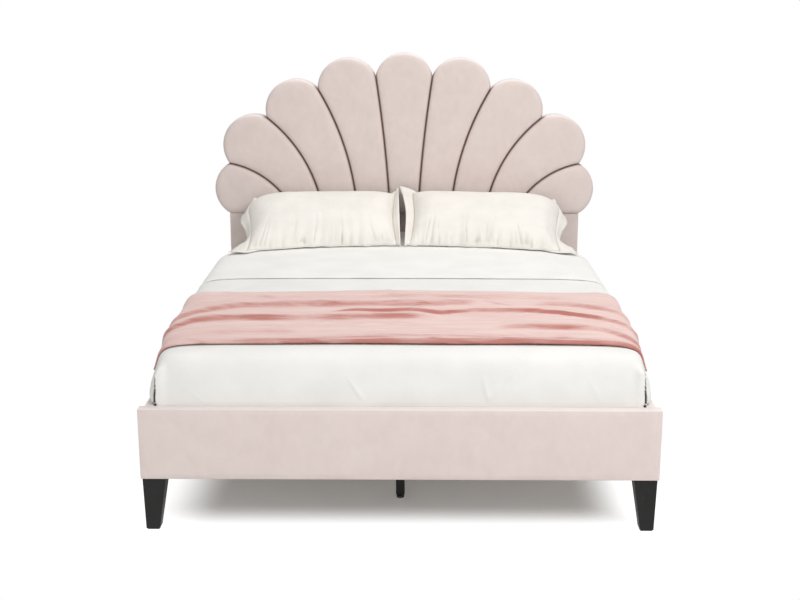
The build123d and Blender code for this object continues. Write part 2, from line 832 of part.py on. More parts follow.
def pillow_section(step, inset):
    """Crowned on top, swollen behind, and flat where it lies on the bed."""
    foot, head = pillow_seams(step)
    way, up = along_slope(foot, head)
    crown = pillow_crown * pillow_crown_shares[step]
    full = pillow_crown_shares[step]
    under = (foot[0] + pillow_bed_reach, pillow_rest)
    thin = moved(foot, (way, pillow_bed_reach), (up, -pillow_flange_thickness))
    heel = tuple(flat + (deep - flat) * full for flat, deep in zip(thin, under))
    toe_drop = (pillow_foot_seam_lift - inset) * full + pillow_flange_thickness * (1 - full)
    toe = (foot[0] + inset, foot[1] - toe_drop + inset)
    foot = moved(foot, (way, inset))
    head = moved(head, (way, -inset))
    heel = moved(heel, (up, inset))
    crown_place = moved(((foot[0] + head[0]) / 2, (foot[1] + head[1]) / 2), (up, crown - inset))
    back_way, back_up = along_slope(heel, head)
    back_place = moved(((heel[0] + head[0]) / 2, (heel[1] + head[1]) / 2),
                       (back_up, inset - pillow_back_swell * full))
    edges = [ThreePointArc(foot, crown_place, head), ThreePointArc(head, back_place, heel),
             Line(heel, toe), Line(toe, foot)]
    return face_of(*edges)


def pillow_plane(centre, step, half):
    x = centre + half * pillow_station_shares[step]
    return Plane(origin=(x, 0, 0), x_dir=(0, 1, 0), z_dir=(1, 0, 0))


def pillow_body(centre, inset):
    steps = range(len(pillow_station_shares))
    half = pillow_half - inset
    return loft([pillow_plane(centre, step, half) * pillow_section(step, inset) for step in steps],
                ruled=True)


def pillow_flange_plate(centre):
    """A thin flat flange round the pillow, in the plane of its seams."""
    sections = []
    for step in range(len(pillow_station_shares)):
        foot, head = pillow_seams(step)
        way, up = along_slope(foot, head)
        half = pillow_flange_thickness / 2
        corners = [moved(foot, (way, -pillow_flange), (up, -half)),
                   moved(head, (way, pillow_flange), (up, -half)),
                   moved(head, (way, pillow_flange), (up, half)),
                   moved(foot, (way, -pillow_flange), (up, half))]
        plane = pillow_plane(centre, step, pillow_width / 2)
        sections.append(plane * Polygon(*corners, align=None))
    return loft(sections, ruled=True)


def pillow(side):
    """A filled insert and its flanged case."""
    centre = side * (pillow_width + pillow_spacing) / 2
    filling = pillow_body(centre, pillow_case_thickness)
    case = pillow_body(centre, 0) + pillow_flange_plate(centre) - filling
    return filling, case


# Cutting tools for the fasteners, so that every hole follows its screw or bolt
def fastener_cuts():
    end_cuts = {-1: [], 1: []}
    rail_cuts = {-1: [], 1: []}
    for end, edge in panel_ends:
        for side in sides:
            end_cuts[end] += [bracket_bolt(place, end, bolt_clearance)
                              for place in bolt_places(side, end, edge)]
            rail_cuts[side] += [side_screw(place, side, wood_screw_length, bolt_clearance)
                                for place in bracket_screw_places(side, end, edge)]
        end_cuts[end] += [end_screw(place, end, bolt_clearance)
                          for place in hanger_screw_places(end, edge)]
    for side in sides:
        rail_cuts[side] += [side_screw(place, side, ledger_screw_length, bolt_clearance)
                            for place in ledger_screw_places(side)]
    return end_cuts, rail_cuts


def build():
    os.makedirs("parts", exist_ok=True)
    end_cuts, rail_cuts = fastener_cuts()
    side_names = {-1: "left", 1: "right"}
    end_names = {-1: "front", 1: "rear"}

    core, cover = footboard()
    save("footboard_core", core - end_cuts[-1])
    save("footboard_cover", cover - end_cuts[-1])
    for side in sides:
        core, cover = side_rail(side)
        save(f"side_rail_{side_names[side]}_core", core - rail_cuts[side])
        save(f"side_rail_{side_names[side]}_cover", cover - rail_cuts[side])

    screw_places = petal_screw_places()
    screw_cuts = [petal_screw(place, bolt_clearance) for place in screw_places]
    board, rim, border, lining = headboard_layers()
    posts, crossbars = headboard_timbers()
    save("headboard_board", board - (end_cuts[1] + screw_cuts))
    save("headboard_rim", rim)
    save("headboard_border", border)
    save("headboard_back_lining", lining)
    for side, post in zip(sides, posts):
        save(f"headboard_post_{side_names[side]}", post - end_cuts[1])
    save("headboard_crossbars", *crossbars)
    save("headboard_lower_panel", lower_panel() - end_cuts[1])
    pads, boards = petals()
    for number, pad in enumerate(pads, start=1):
        save(f"petal_{number}", pad)
    save("petal_boards", *[plate - screw_cuts for plate in boards])
    save("petal_screws", *[petal_screw(place, 0) for place in screw_places])

    corners = [(side, end, edge) for end, edge in panel_ends for side in sides]
    for side, end, _ in corners:
        save(f"leg_{end_names[end]}_{side_names[side]}", corner_leg(side, end))
    save("leg_glides", *[leg_glide(side, end) for side, end, _ in corners])
    save("corner_blocks", *[corner_block(side, end) for side, end, _ in corners])
    studs = [leg_stud(side, end, 0) for side, end, _ in corners]
    save("leg_studs", *(studs + [centre_stud(y, 0) for _, y in centre_legs]))
    save("corner_brackets", *[corner_bracket(*corner) for corner in corners])
    bolts = [(place, end) for side, end, edge in corners for place in bolt_places(side, end, edge)]
    save("bracket_bolts", *[finished_bolt(place, end) for place, end in bolts])
    save("bracket_washers", *[washer(place, end) for place, end in bolts])
    screws = [side_screw(place, side, wood_screw_length, 0) for side, end, edge in corners
              for place in bracket_screw_places(side, end, edge)]
    screws += [end_screw(place, end, 0) for end, edge in panel_ends
               for place in hanger_screw_places(end, edge)]
    save("bracket_screws", *screws)

    for side in sides:
        save(f"slat_ledger_{side_names[side]}", ledger(side))
    save("ledger_screws", *[side_screw(place, side, ledger_screw_length, 0) for side in sides
                            for place in ledger_screw_places(side)])
    save("slats", *slats())
    save("slat_straps", *straps())
    save("centre_beam", centre_beam())
    save("beam_hangers", *[beam_hanger(end, edge) for end, edge in panel_ends])
    for name, y in centre_legs:
        save(f"centre_leg_{name}", centre_leg(y))
        save(f"levelling_foot_{name}", levelling_foot(y))

    core, topper, ticking, sheet = mattress()
    save("mattress_core", core)
    save("mattress_topper", topper)
    save("mattress_ticking", ticking)
    save("fitted_sheet", sheet)
    save("coverlet", coverlet())
    save("top_sheet", top_sheet())
    save("throw_blanket", throw_blanket())
    for side in sides:
        filling, case = pillow(side)
        save(f"pillow_{side_names[side]}_filling", filling)
        save(f"pillow_{side_names[side]}_case", case)


build()
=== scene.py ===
from math import atan2, copysign, exp, pi, radians, sin, sqrt

import bmesh
import bpy
from mathutils import Matrix, Vector, noise
from mathutils.bvhtree import BVHTree
from mathutils.geometry import interpolate_bezier
from mathutils.kdtree import KDTree


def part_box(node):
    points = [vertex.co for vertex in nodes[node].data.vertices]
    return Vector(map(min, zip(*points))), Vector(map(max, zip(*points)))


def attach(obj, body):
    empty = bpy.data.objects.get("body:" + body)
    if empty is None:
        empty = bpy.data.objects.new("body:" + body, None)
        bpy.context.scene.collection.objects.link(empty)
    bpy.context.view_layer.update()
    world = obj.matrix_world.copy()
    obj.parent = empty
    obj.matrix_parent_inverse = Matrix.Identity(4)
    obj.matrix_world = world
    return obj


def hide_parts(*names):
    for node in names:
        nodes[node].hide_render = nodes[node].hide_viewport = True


# An upholstered bed with a petal headboard, dressed with bedding.
# Lengths are in metres. The head of the bed is towards +Y.
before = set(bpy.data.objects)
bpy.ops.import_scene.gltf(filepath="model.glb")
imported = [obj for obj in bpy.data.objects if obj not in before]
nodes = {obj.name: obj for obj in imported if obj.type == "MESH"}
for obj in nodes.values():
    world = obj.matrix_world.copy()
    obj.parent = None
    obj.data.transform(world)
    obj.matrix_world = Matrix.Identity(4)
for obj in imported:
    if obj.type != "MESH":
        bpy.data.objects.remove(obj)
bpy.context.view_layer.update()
scene = bpy.context.scene
print("frame loaded")


# Camera, light and floor
view = {
    "cameraPlace": (0.037, -4.778, 1.673),
    "cameraPitch": radians(76.09),
    "cameraYaw": radians(0.55),
    "lens": 56.54,
    "ambient": 0.50,
    "ambientColour": (1.0, 0.985, 0.975),
}
lamps = {
    "key": {"place": (2.4, -2.8, 3.4), "aim": (0.0, 0.0, 0.6), "size": 1.8, "power": 86},
    "fill": {"place": (-1.6, -4.8, 1.5), "aim": (0.0, 0.0, 0.5), "size": 3.2, "power": 47},
    "top": {"place": (0.2, 0.8, 4.0), "aim": (0.0, -0.2, 0.4), "size": 2.4, "power": 44},
}
# Near the bed the floor shows its own light and shadow; far from it, it glows an even white.
floorLook = {
    "size": 40.0,
    "albedo": 0.80,
    "nearGlow": 2.4,
    "nearShare": 0.05,
    "nearHalf": (0.58, 0.86),
    "fade": (0.0, 0.42),
}


class Value:
    # A socket whose sums and products become Math nodes.
    def __init__(self, book, socket):
        self.book = book
        self.socket = socket

    def math(self, operation, first, second=0.0):
        return self.book.make("Math", {"operation": operation}, {0: first, 1: second})

    def __add__(self, other):
        return self.math("ADD", self, other)

    def __radd__(self, other):
        return self.math("ADD", other, self)

    def __sub__(self, other):
        return self.math("SUBTRACT", self, other)

    def __rsub__(self, other):
        return self.math("SUBTRACT", other, self)

    def __mul__(self, other):
        return self.math("MULTIPLY", self, other)

    def __rmul__(self, other):
        return self.math("MULTIPLY", other, self)

    def __pow__(self, other):
        return self.math("POWER", self, other)

    def wave(self):
        return self.math("SINE", self)


class NodeBook:
    # Makes the nodes of one tree, and the patterns that any tree may use.
    def __init__(self, tree):
        self.tree = tree
        tree.nodes.clear()

    def make(self, kind, settings=None, inputs=None, output=0):
        node = self.tree.nodes.new("ShaderNode" + kind)
        for key, setting in (settings or {}).items():
            setattr(node, key, setting)
        for key, value in (inputs or {}).items():
            self.feed(node.inputs[key], value)
        return Value(self, node.outputs[output]) if node.outputs else node

    def feed(self, socket, value):
        if isinstance(value, Value):
            self.tree.links.new(value.socket, socket)
        elif socket.type == "RGBA":
            socket.default_value = (*value, 1.0)
        else:
            socket.default_value = value

    def part(self, vector, letter):
        return self.make("SeparateXYZ", inputs={0: vector}, output=letter)

    def band(self, value, low, high):
        inputs = {0: value, 1: low, 2: high}
        return self.make("MapRange", {"interpolation_type": "SMOOTHSTEP"}, inputs)


class Finish(NodeBook):
    # One material: its fixed shader sockets, and patterns that follow the piece in metres.
    def __init__(self, name, **fixed):
        self.material = bpy.data.materials.new(name)
        self.material.use_nodes = True
        super().__init__(self.material.node_tree)
        self.shader = self.make("BsdfPrincipled")
        self.sockets = self.shader.socket.node.inputs
        self.make("OutputMaterial", inputs={"Surface": self.shader})
        self.place = self.make("TexCoord", output="Object")
        for key, value in fixed.items():
            self.feed(self.sockets[key.replace("_", " ")], value)

    def stretched(self, stretch):
        return self.make("VectorMath", {"operation": "MULTIPLY"}, {0: self.place, 1: stretch})

    def cloudy(self, size, detail=3.0, stretch=(1, 1, 1), warp=0.0):
        inputs = {"Vector": self.stretched(stretch), "Scale": 1 / size, "Detail": detail,
                  "Distortion": warp}
        return self.make("TexNoise", inputs=inputs, output="Fac")

    def cells(self, size):
        inputs = {"Vector": self.place, "Scale": 1 / size}
        return self.make("TexVoronoi", inputs=inputs, output="Distance")

    def axis(self, letter):
        return self.part(self.place, letter)

    def held(self, attribute):
        return self.make("Attribute", {"attribute_name": attribute}, output="Fac")

    def mix(self, share, first, second):
        return self.make("Mix", {"data_type": "RGBA"}, {0: share, 6: first, 7: second}, output=2)

    def colour(self, value):
        self.feed(self.sockets["Base Color"], value)

    def rough(self, value):
        self.feed(self.sockets["Roughness"], value)

    def relief(self, height, depth):
        bump = self.make("Bump", inputs={"Height": height, "Distance": depth, "Strength": 1.0})
        self.feed(self.sockets["Normal"], bump)


def softLight(name, place, aim, size, power):
    lamp = bpy.data.lights.new(name, "AREA")
    lamp.energy = power
    lamp.size = size
    holder = bpy.data.objects.new(name, lamp)
    holder.location = place
    holder.rotation_euler = (Vector(aim) - Vector(place)).to_track_quat("-Z", "Y").to_euler()
    scene.collection.objects.link(holder)


def seenDirectly(book):
    # 1 for rays that show the background itself, in the picture or in a reflection.
    path = book.make("LightPath", output="Is Camera Ray")
    outputs = path.socket.node.outputs
    glossy = Value(book, outputs["Is Glossy Ray"])
    through = Value(book, outputs["Is Transmission Ray"])
    return path.math("MAXIMUM", path, path.math("MAXIMUM", glossy, through))


def farFromBed(book):
    # 0 beside the bed, rising to 1 with the distance from its outline on the floor.
    place = book.make("TexCoord", output="Object")
    gaps = []
    for letter, half in zip("XY", floorLook["nearHalf"]):
        along = book.part(place, letter)
        gaps.append(along.math("MAXIMUM", along.math("ABSOLUTE", along) - half, 0.0))
    distance = (gaps[0] * gaps[0] + gaps[1] * gaps[1]) ** 0.5
    return book.band(distance, *floorLook["fade"])


def buildStudio():
    camera = bpy.data.cameras.new("camera")
    camera.lens = view["lens"]
    holder = bpy.data.objects.new("camera", camera)
    holder.location = view["cameraPlace"]
    holder.rotation_euler = (view["cameraPitch"], 0, view["cameraYaw"])
    scene.collection.objects.link(holder)
    scene.camera = holder
    scene.view_settings.view_transform = "Standard"
    for name, lamp in lamps.items():
        softLight(name, **lamp)

    scene.world = bpy.data.worlds.new("studio")
    scene.world.use_nodes = True
    book = NodeBook(scene.world.node_tree)
    ambient = book.make("Background", inputs={"Color": view["ambientColour"],
                                              "Strength": view["ambient"]})
    white = book.make("Background", inputs={"Color": (1, 1, 1), "Strength": 1.0})
    sky = book.make("MixShader", inputs={0: seenDirectly(book), 1: ambient, 2: white})
    book.make("OutputWorld", inputs={"Surface": sky})

    bm = bmesh.new()
    bmesh.ops.create_grid(bm, x_segments=1, y_segments=1, size=floorLook["size"] / 2)
    mesh = bpy.data.meshes.new("floor")
    bm.to_mesh(mesh)
    bm.free()
    material = bpy.data.materials.new("floor")
    material.use_nodes = True
    book = NodeBook(material.node_tree)
    albedo = (floorLook["albedo"],) * 3
    lit = book.make("BsdfDiffuse", inputs={"Color": albedo})
    away = farFromBed(book)
    share = seenDirectly(book) * (away * (1 - floorLook["nearShare"]) + floorLook["nearShare"])
    strength = away * (1 - floorLook["nearGlow"]) + floorLook["nearGlow"]
    glow = book.make("Emission", inputs={"Color": (1, 1, 1), "Strength": strength})
    surface = book.make("MixShader", inputs={0: share, 1: lit, 2: glow})
    book.make("OutputMaterial", inputs={"Surface": surface})
    mesh.materials.append(material)
    floor = bpy.data.objects.new("floor", mesh)
    scene.collection.objects.link(floor)


buildStudio()
print("studio built")


# Finishes
def velvet(name):
    # Short even pile: a fine nap, with very faint cloudy marks where it has been brushed.
    # Faces turned upwards get a painted highlight, paler as if lit from above. A padded piece's own
    # attribute gives the painted shade deep in the seam beside it.
    look = {"dark": (0.660, 0.562, 0.530), "light": (0.785, 0.690, 0.656),
            "seam": (0.22, 0.135, 0.110), "paintedTopLight": (0.87, 0.795, 0.770)}
    finish = Finish(name, **{"Roughness": 0.9, "Specular_IOR_Level": 0.1, "Sheen_Weight": 0.25,
                             "Sheen_Roughness": 0.3, "Sheen_Tint": (0.97, 0.93, 1.0)})
    marks = finish.band(finish.cloudy(0.10, 4.0, warp=0.5), 0.30, 0.72)
    brushed = finish.cloudy(0.026, 4.0, stretch=(1, 1, 0.6), warp=0.4)
    nap = finish.cloudy(0.0013, 2.0)
    shade = marks * 0.22 + brushed * 0.42 + nap * 0.36
    # Painted shade deep in the seams between petals, from the piece's own attribute.
    depth = finish.held("seamDepth")
    # Painted highlight: faces turned up are painted paler, as if lit from above.
    normal = finish.make("NewGeometry", output="Normal")
    paintedTopLight = finish.band(finish.part(normal, "Z"), 0.45, 0.95)
    pileWithTopLight = finish.mix(paintedTopLight * 0.8, finish.mix(shade, look["dark"], look["light"]), look["paintedTopLight"])
    finish.colour(finish.mix(depth * 0.85, pileWithTopLight, look["seam"]))
    finish.relief(nap + brushed * 0.3, 0.0004)
    return finish


def mitreShadowMask(finish, paintedMitreShadow):
    # 1 along the narrow gap beside the mitred fold at each foot corner, where the painted shadow
    # goes.
    x = finish.axis("X")
    away = x.math("ABSOLUTE", x) - paintedMitreShadow["place"]
    line = 1 - finish.band(away.math("ABSOLUTE", away), *paintedMitreShadow["halfWidth"])
    below = 1 - finish.band(finish.axis("Z"), *paintedMitreShadow["top"])
    near = 1 - finish.band(finish.axis("Y"), *paintedMitreShadow["foot"])
    return line * below * near


def cloth(name, dark, light, thread, relief, creaseSize=0.05, paintedMitreShadow=None):
    # Plain woven cloth: fine crossed threads, with faint creases and a cloudy tone.
    finish = Finish(name, **{"Roughness": 0.9, "Specular_IOR_Level": 0.2})
    warp = (finish.axis("X") * (2 * pi / thread)).wave()
    weft = (finish.axis("Y") * (2 * pi / thread)).wave()
    creases = finish.cloudy(creaseSize, 5.0, warp=0.8)
    shade = finish.band(finish.cloudy(creaseSize * 3, 3.0), 0.3, 0.7) * 0.7 + creases * 0.3
    # A piece's own attribute paints shade into its deep creases and grooves.
    depth = finish.band(finish.held("paintedCreaseShade"), 0.0, 2.2)
    shadow = tuple(part * share for part, share in zip(dark, (0.62, 0.57, 0.50)))
    tone = finish.mix(depth, finish.mix(shade, dark, light), shadow)
    # Painted shadow in the gap beside the mitred fold.
    if paintedMitreShadow:
        tone = finish.mix(mitreShadowMask(finish, paintedMitreShadow) * paintedMitreShadow["strength"], tone, paintedMitreShadow["colour"])
    finish.colour(tone)
    finish.relief((warp * weft + 1) * 0.03 + creases, relief)
    return finish


def plush(name):
    # Soft pile with painted shade on the steep front of each fold, in its crinkles and along its
    # hem, which the piece's own attribute gives.
    look = {"dark": (0.47, 0.190, 0.160), "mid": (0.70, 0.480, 0.445),
            "light": (0.87, 0.705, 0.670)}
    finish = Finish(name, **{"Roughness": 0.8, "Specular_IOR_Level": 0.15, "Sheen_Weight": 0.25,
                             "Sheen_Roughness": 0.3, "Sheen_Tint": (1.0, 0.88, 0.86)})
    streaks = finish.band(finish.cloudy(0.022, 4.0, stretch=(0.10, 1, 1), warp=0.5), 0.36, 0.66)
    clouds = finish.cloudy(0.10, 3.0, stretch=(0.35, 1, 1))
    nap = finish.cloudy(0.0018, 2.0)
    # Painted shade on the fronts of folds, in crinkles and along the hem, from the piece's own
    # attribute.
    front = finish.held("paintedFoldShade")
    threads = finish.cloudy(0.007, 4.0, stretch=(0.12, 1, 1), warp=0.6)
    base = finish.mix(streaks * 0.35 + clouds * 0.3 + threads * 0.35, look["mid"], look["light"])
    # Random nap tone, which also breaks up the painted shade.
    unevenShade = (streaks - 0.5) * 0.26 + (threads - 0.5) * 0.9 + (nap - 0.5) * 0.15
    depth = finish.band(front + unevenShade, 0.0, 1.45)
    finish.colour(finish.mix(depth, base, look["dark"]))
    finish.relief(nap * 0.6 + streaks * 0.5, 0.0010)
    return finish


def timber(name, dark, light, grain):
    # Grain is the axis that the fibres run along.
    stretch = {"X": (0.06, 1, 1), "Y": (1, 0.06, 1), "Z": (1, 1, 0.06)}[grain]
    finish = Finish(name, **{"Specular_IOR_Level": 0.3})
    rings = finish.band(finish.cloudy(0.014, 4.0, stretch, warp=1.2), 0.32, 0.68)
    fibres = finish.cloudy(0.0022, 3.0, stretch)
    shade = rings * 0.7 + fibres * 0.3
    finish.colour(finish.mix(shade, dark, light))
    finish.rough(fibres * 0.2 + 0.5)
    finish.relief(fibres + rings * 0.4, 0.0003)
    return finish


def ply(name, back):
    # Thin veneers show as bands along the board's thickness, which lies along Y.
    finish = Finish(name, **{"Specular_IOR_Level": 0.3})
    bands = ((finish.axis("Y") - back) * (2 * pi / 0.003)).wave() * 0.5 + 0.5
    figure = finish.band(finish.cloudy(0.02, 4.0, (1, 1, 0.08), warp=1.5), 0.3, 0.7)
    fibres = finish.cloudy(0.002, 3.0, (1, 1, 0.06))
    finish.colour(finish.mix(figure * 0.5 + fibres * 0.2 + bands * 0.3, (0.46, 0.31, 0.19),
                             (0.74, 0.58, 0.40)))
    finish.rough(fibres * 0.2 + 0.55)
    finish.relief(fibres, 0.0002)
    return finish


def blackWood(name):
    finish = Finish(name, **{"Specular_IOR_Level": 0.25})
    fibres = finish.cloudy(0.003, 4.0, (1, 1, 0.05), warp=0.5)
    wear = finish.band(finish.cloudy(0.03, 4.0), 0.55, 0.8)
    finish.colour(finish.mix(fibres * 0.6 + wear * 0.4, (0.008, 0.008, 0.008),
                             (0.024, 0.023, 0.022)))
    finish.rough(fibres * 0.15 + wear * 0.1 + 0.45)
    finish.relief(fibres, 0.00025)
    return finish


def moulded(name, dark, light, roughness):
    # Plastic with a faint spotted grain.
    finish = Finish(name, **{"Specular_IOR_Level": 0.4})
    spots = finish.cloudy(0.0012, 3.0)
    finish.colour(finish.mix(spots * 0.5 + finish.cloudy(0.02) * 0.5, dark, light))
    finish.rough(spots * 0.15 + roughness)
    finish.relief(spots, 0.0001)
    return finish


def zinc(name):
    finish = Finish(name, Metallic=1.0)
    spangle = finish.cells(0.004)
    brushed = finish.cloudy(0.002, 3.0, (1, 0.2, 1))
    finish.colour(finish.mix(spangle * 0.5 + brushed * 0.5, (0.46, 0.47, 0.48), (0.72, 0.72, 0.71)))
    finish.rough(brushed * 0.2 + spangle * 0.1 + 0.25)
    finish.relief(brushed, 0.00005)
    return finish


def ribbon(name, dark, light, pitch, depth):
    # Herringbone tape: slanted ribs that turn about the middle.
    finish = Finish(name, **{"Roughness": 0.85, "Specular_IOR_Level": 0.2})
    across = finish.axis("X") * (2 * pi / pitch)
    along = finish.axis("Y") * (2 * pi / pitch)
    ribs = (across + along).wave() * (across - along).wave() * 0.5 + 0.5
    finish.colour(finish.mix(ribs * 0.6 + finish.cloudy(0.01) * 0.4, dark, light))
    finish.relief(ribs, depth)
    return finish


def nonWoven(name):
    finish = Finish(name, **{"Roughness": 0.9, "Specular_IOR_Level": 0.2, "Sheen_Weight": 0.1})
    dots = finish.band(finish.cells(0.0025), 0.15, 0.4)
    fibres = finish.cloudy(0.004, 5.0, warp=2.0)
    finish.colour(finish.mix(dots * 0.4 + fibres * 0.6, (0.016, 0.016, 0.017),
                             (0.050, 0.050, 0.052)))
    finish.relief(dots + fibres, 0.0003)
    return finish


def ticking(name):
    # Knitted mattress cover with a quilted lattice.
    finish = Finish(name, **{"Roughness": 0.9, "Specular_IOR_Level": 0.2, "Sheen_Weight": 0.1})
    x, y, z = finish.axis("X"), finish.axis("Y"), finish.axis("Z")
    lattice = ((x + z) * 62).wave() * ((y - z) * 62).wave()
    quilting = finish.band(lattice.math("ABSOLUTE", lattice), 0.0, 0.35)
    knit = finish.cloudy(0.0016, 2.0)
    finish.colour(finish.mix(quilting * 0.6 + knit * 0.4, (0.74, 0.73, 0.71), (0.86, 0.86, 0.84)))
    finish.relief(quilting + knit * 0.15, 0.0016)
    return finish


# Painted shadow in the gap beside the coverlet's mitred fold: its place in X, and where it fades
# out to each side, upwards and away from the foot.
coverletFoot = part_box("coverlet")[0].y
paintedMitreShadow = {"place": 0.7660, "halfWidth": (0.00143, 0.00351), "top": (0.495, 0.525),
         "foot": (coverletFoot + 0.045, coverletFoot + 0.06), "strength": 0.92,
         "colour": (0.13, 0.115, 0.085)}
pine = (0.52, 0.35, 0.20), (0.76, 0.60, 0.40)
finishes = {
    "velvet": velvet("blushVelvet"),
    "sheet": cloth("whitePercale", (0.82, 0.815, 0.79), (0.88, 0.875, 0.85), 0.0007, 0.0005),
    "coverlet": cloth("whiteCoverlet", (0.775, 0.770, 0.745), (0.835, 0.830, 0.805), 0.0010, 0.0007,
                      paintedMitreShadow=paintedMitreShadow),
    "pillowCotton": cloth("ivoryCotton", (0.79, 0.765, 0.715), (0.85, 0.825, 0.775), 0.0008, 0.0008,
                          creaseSize=0.03),
    "plush": plush("rosePlush"),
    "pineAlongX": timber("pineAlongX", *pine, "X"),
    "pineAlongY": timber("pineAlongY", *pine, "Y"),
    "pineAlongZ": timber("pineAlongZ", *pine, "Z"),
    "slatWood": timber("slatPoplar", (0.62, 0.47, 0.30), (0.82, 0.69, 0.50), "X"),
    "ply": ply("headboardPly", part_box("headboard_board")[0].y),
    "petalPly": ply("petalPly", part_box("petal_boards")[0].y),
    "blackWood": blackWood("blackStainedWood"),
    "nylon": moulded("blackNylon", (0.018, 0.018, 0.019), (0.035, 0.035, 0.036), 0.45),
    "steel": zinc("zincPlatedSteel"),
    "webbing": ribbon("slatTape", (0.40, 0.38, 0.35), (0.62, 0.60, 0.56), 0.003, 0.0006),
    "lining": nonWoven("blackDustCloth"),
    "ticking": ticking("quiltedTicking"),
}
print("finishes made")


# Mesh helpers
def boxMesh(low, high):
    bm = bmesh.new()
    bmesh.ops.create_cube(bm, size=1)
    bmesh.ops.scale(bm, vec=high - low, verts=bm.verts)
    bmesh.ops.translate(bm, vec=(high + low) / 2, verts=bm.verts)
    return bm


def roundEdges(bm, edges, radius, segments):
    bmesh.ops.bevel(bm, geom=edges, offset=radius, offset_type="OFFSET", segments=segments,
                    profile=0.5, affect="EDGES", material=-1, clamp_overlap=True)


def sliceBox(bm, low, high, spacing):
    # Adds even cuts along all three axes, so that a flat face can take a soft shape.
    for axis in range(3):
        span = high[axis] - low[axis]
        count = max(1, round(span / spacing))
        normal = Vector((0, 0, 0))
        normal[axis] = 1
        for step in range(1, count):
            place = low.copy()
            place[axis] += span * step / count
            bmesh.ops.bisect_plane(bm, geom=bm.verts[:] + bm.edges[:] + bm.faces[:],
                                   plane_co=place, plane_no=normal)


def cleanCopy(nodeName):
    # A CAD node's own shape with its loose triangles joined up again.
    bm = bmesh.new()
    bm.from_mesh(nodes[nodeName].data)
    bmesh.ops.remove_doubles(bm, verts=bm.verts, dist=0.000005)
    return bm


def shown(name, bm, body, finish, hides=(), sharpAngle=None):
    mesh = bpy.data.meshes.new(name)
    bm.to_mesh(mesh)
    bm.free()
    mesh.materials.append(finish.material)
    mesh.shade_smooth()
    if sharpAngle:
        mesh.set_sharp_from_angle(angle=sharpAngle)
    piece = bpy.data.objects.new(name, mesh)
    scene.collection.objects.link(piece)
    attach(piece, body)
    if hides:
        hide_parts(*hides)
    return piece


def applied(piece):
    # Replaces a piece's mesh by what its modifiers make of it.
    graph = bpy.context.evaluated_depsgraph_get()
    mesh = bpy.data.meshes.new_from_object(piece.evaluated_get(graph))
    piece.modifiers.clear()
    piece.data = mesh


def walled(piece, thickness, offset=-1):
    # Gives a single layer of cloth its thickness.
    wall = piece.modifiers.new("wall", "SOLIDIFY")
    wall.thickness = thickness
    wall.offset = offset
    applied(piece)


def gridMesh(columns, rows):
    bm = bmesh.new()
    bmesh.ops.create_grid(bm, x_segments=columns, y_segments=rows, size=1)
    return bm


def smoothStep(low, high, value):
    share = min(1.0, max(0.0, (value - low) / (high - low)))
    return share * share * (3 - 2 * share)


def window(value, rise, fall=None):
    # Rises from 0 to 1 over one stretch, and falls back over a later one.
    share = smoothStep(*rise, value)
    return share * (1 - smoothStep(*fall, value)) if fall else share


def about(place, span):
    # A stretch given by the distances of its ends from a place.
    return place + span[0], place + span[1]


def bumpy(place, size, offset=0.0):
    return noise.noise(Vector(place) / size + Vector((offset, 0, 0)))


def wandering(place, swing, offset=0.0):
    amount, size = swing
    return amount * bumpy(place, size, offset)


def steps(value, stops):
    # The straight line through (place, height) stops, held level beyond its ends.
    for (a, low), (b, high) in zip(stops, stops[1:]):
        if value <= b:
            return low + (high - low) * max(0, value - a) / (b - a)
    return stops[-1][1]


def curve(value, stops):
    # A smooth curve through (place, height) stops, held level beyond its ends.
    count = len(stops)
    at = 0
    while at < count - 2 and value > stops[at + 1][0]:
        at += 1
    slopes = []
    for index in (at, at + 1):
        (a, low), (b, high) = stops[max(0, index - 1)], stops[min(count - 1, index + 1)]
        slopes.append((high - low) / (b - a))
    (a, low), (b, high) = stops[at], stops[at + 1]
    t = min(1.0, max(0.0, (value - a) / (b - a)))
    span = b - a
    return (low * (1 + 2 * t) * (1 - t) ** 2 + high * t * t * (3 - 2 * t)
            + span * slopes[0] * t * (1 - t) ** 2 - span * slopes[1] * t * t * (1 - t))


# Velvet over foam on the footboard, rails and lower headboard.
# Each panel swells a little on the one face that is seen.
panels = {
    "spacing": 0.02,
    "edgeRadius": 0.0028,
    "edgeSegments": 4,
    "puff": 0.0018,
    "unevenness": 0.0005,
    "unevenSize": 0.12,
    "swellPower": 10,
    "faces": {
        "footboard_cover": (0, -1, 0),
        "side_rail_left_cover": (-1, 0, 0),
        "side_rail_right_cover": (1, 0, 0),
        "headboard_lower_panel": (0, -1, 0),
    },
}


def buildPanel(name, facing):
    low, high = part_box(name)
    facing = Vector(facing)
    room = panels["puff"] + panels["unevenness"]
    for axis in range(3):
        if facing[axis] < 0:
            low[axis] += room
        if facing[axis] > 0:
            high[axis] -= room
    bm = boxMesh(low, high)
    roundEdges(bm, bm.edges[:], panels["edgeRadius"], panels["edgeSegments"])
    sliceBox(bm, low, high, panels["spacing"])
    bm.normal_update()
    centre, half = (low + high) / 2, (high - low) / 2
    for vert in bm.verts:
        if vert.normal.dot(facing) < 0.95:  # only the flat of the face
            continue
        swell = panels["puff"]
        for axis in range(3):
            if not facing[axis]:
                part = abs(vert.co[axis] - centre[axis]) / half[axis]
                swell *= 1 - part ** panels["swellPower"]
        uneven = panels["unevenness"] * bumpy(vert.co, panels["unevenSize"])
        vert.co += facing * (swell + uneven)
    piece = shown(name + "_velvet", bm, "frame", finishes["velvet"], [name])


for name, facing in panels["faces"].items():
    buildPanel(name, facing)
print("panels upholstered")


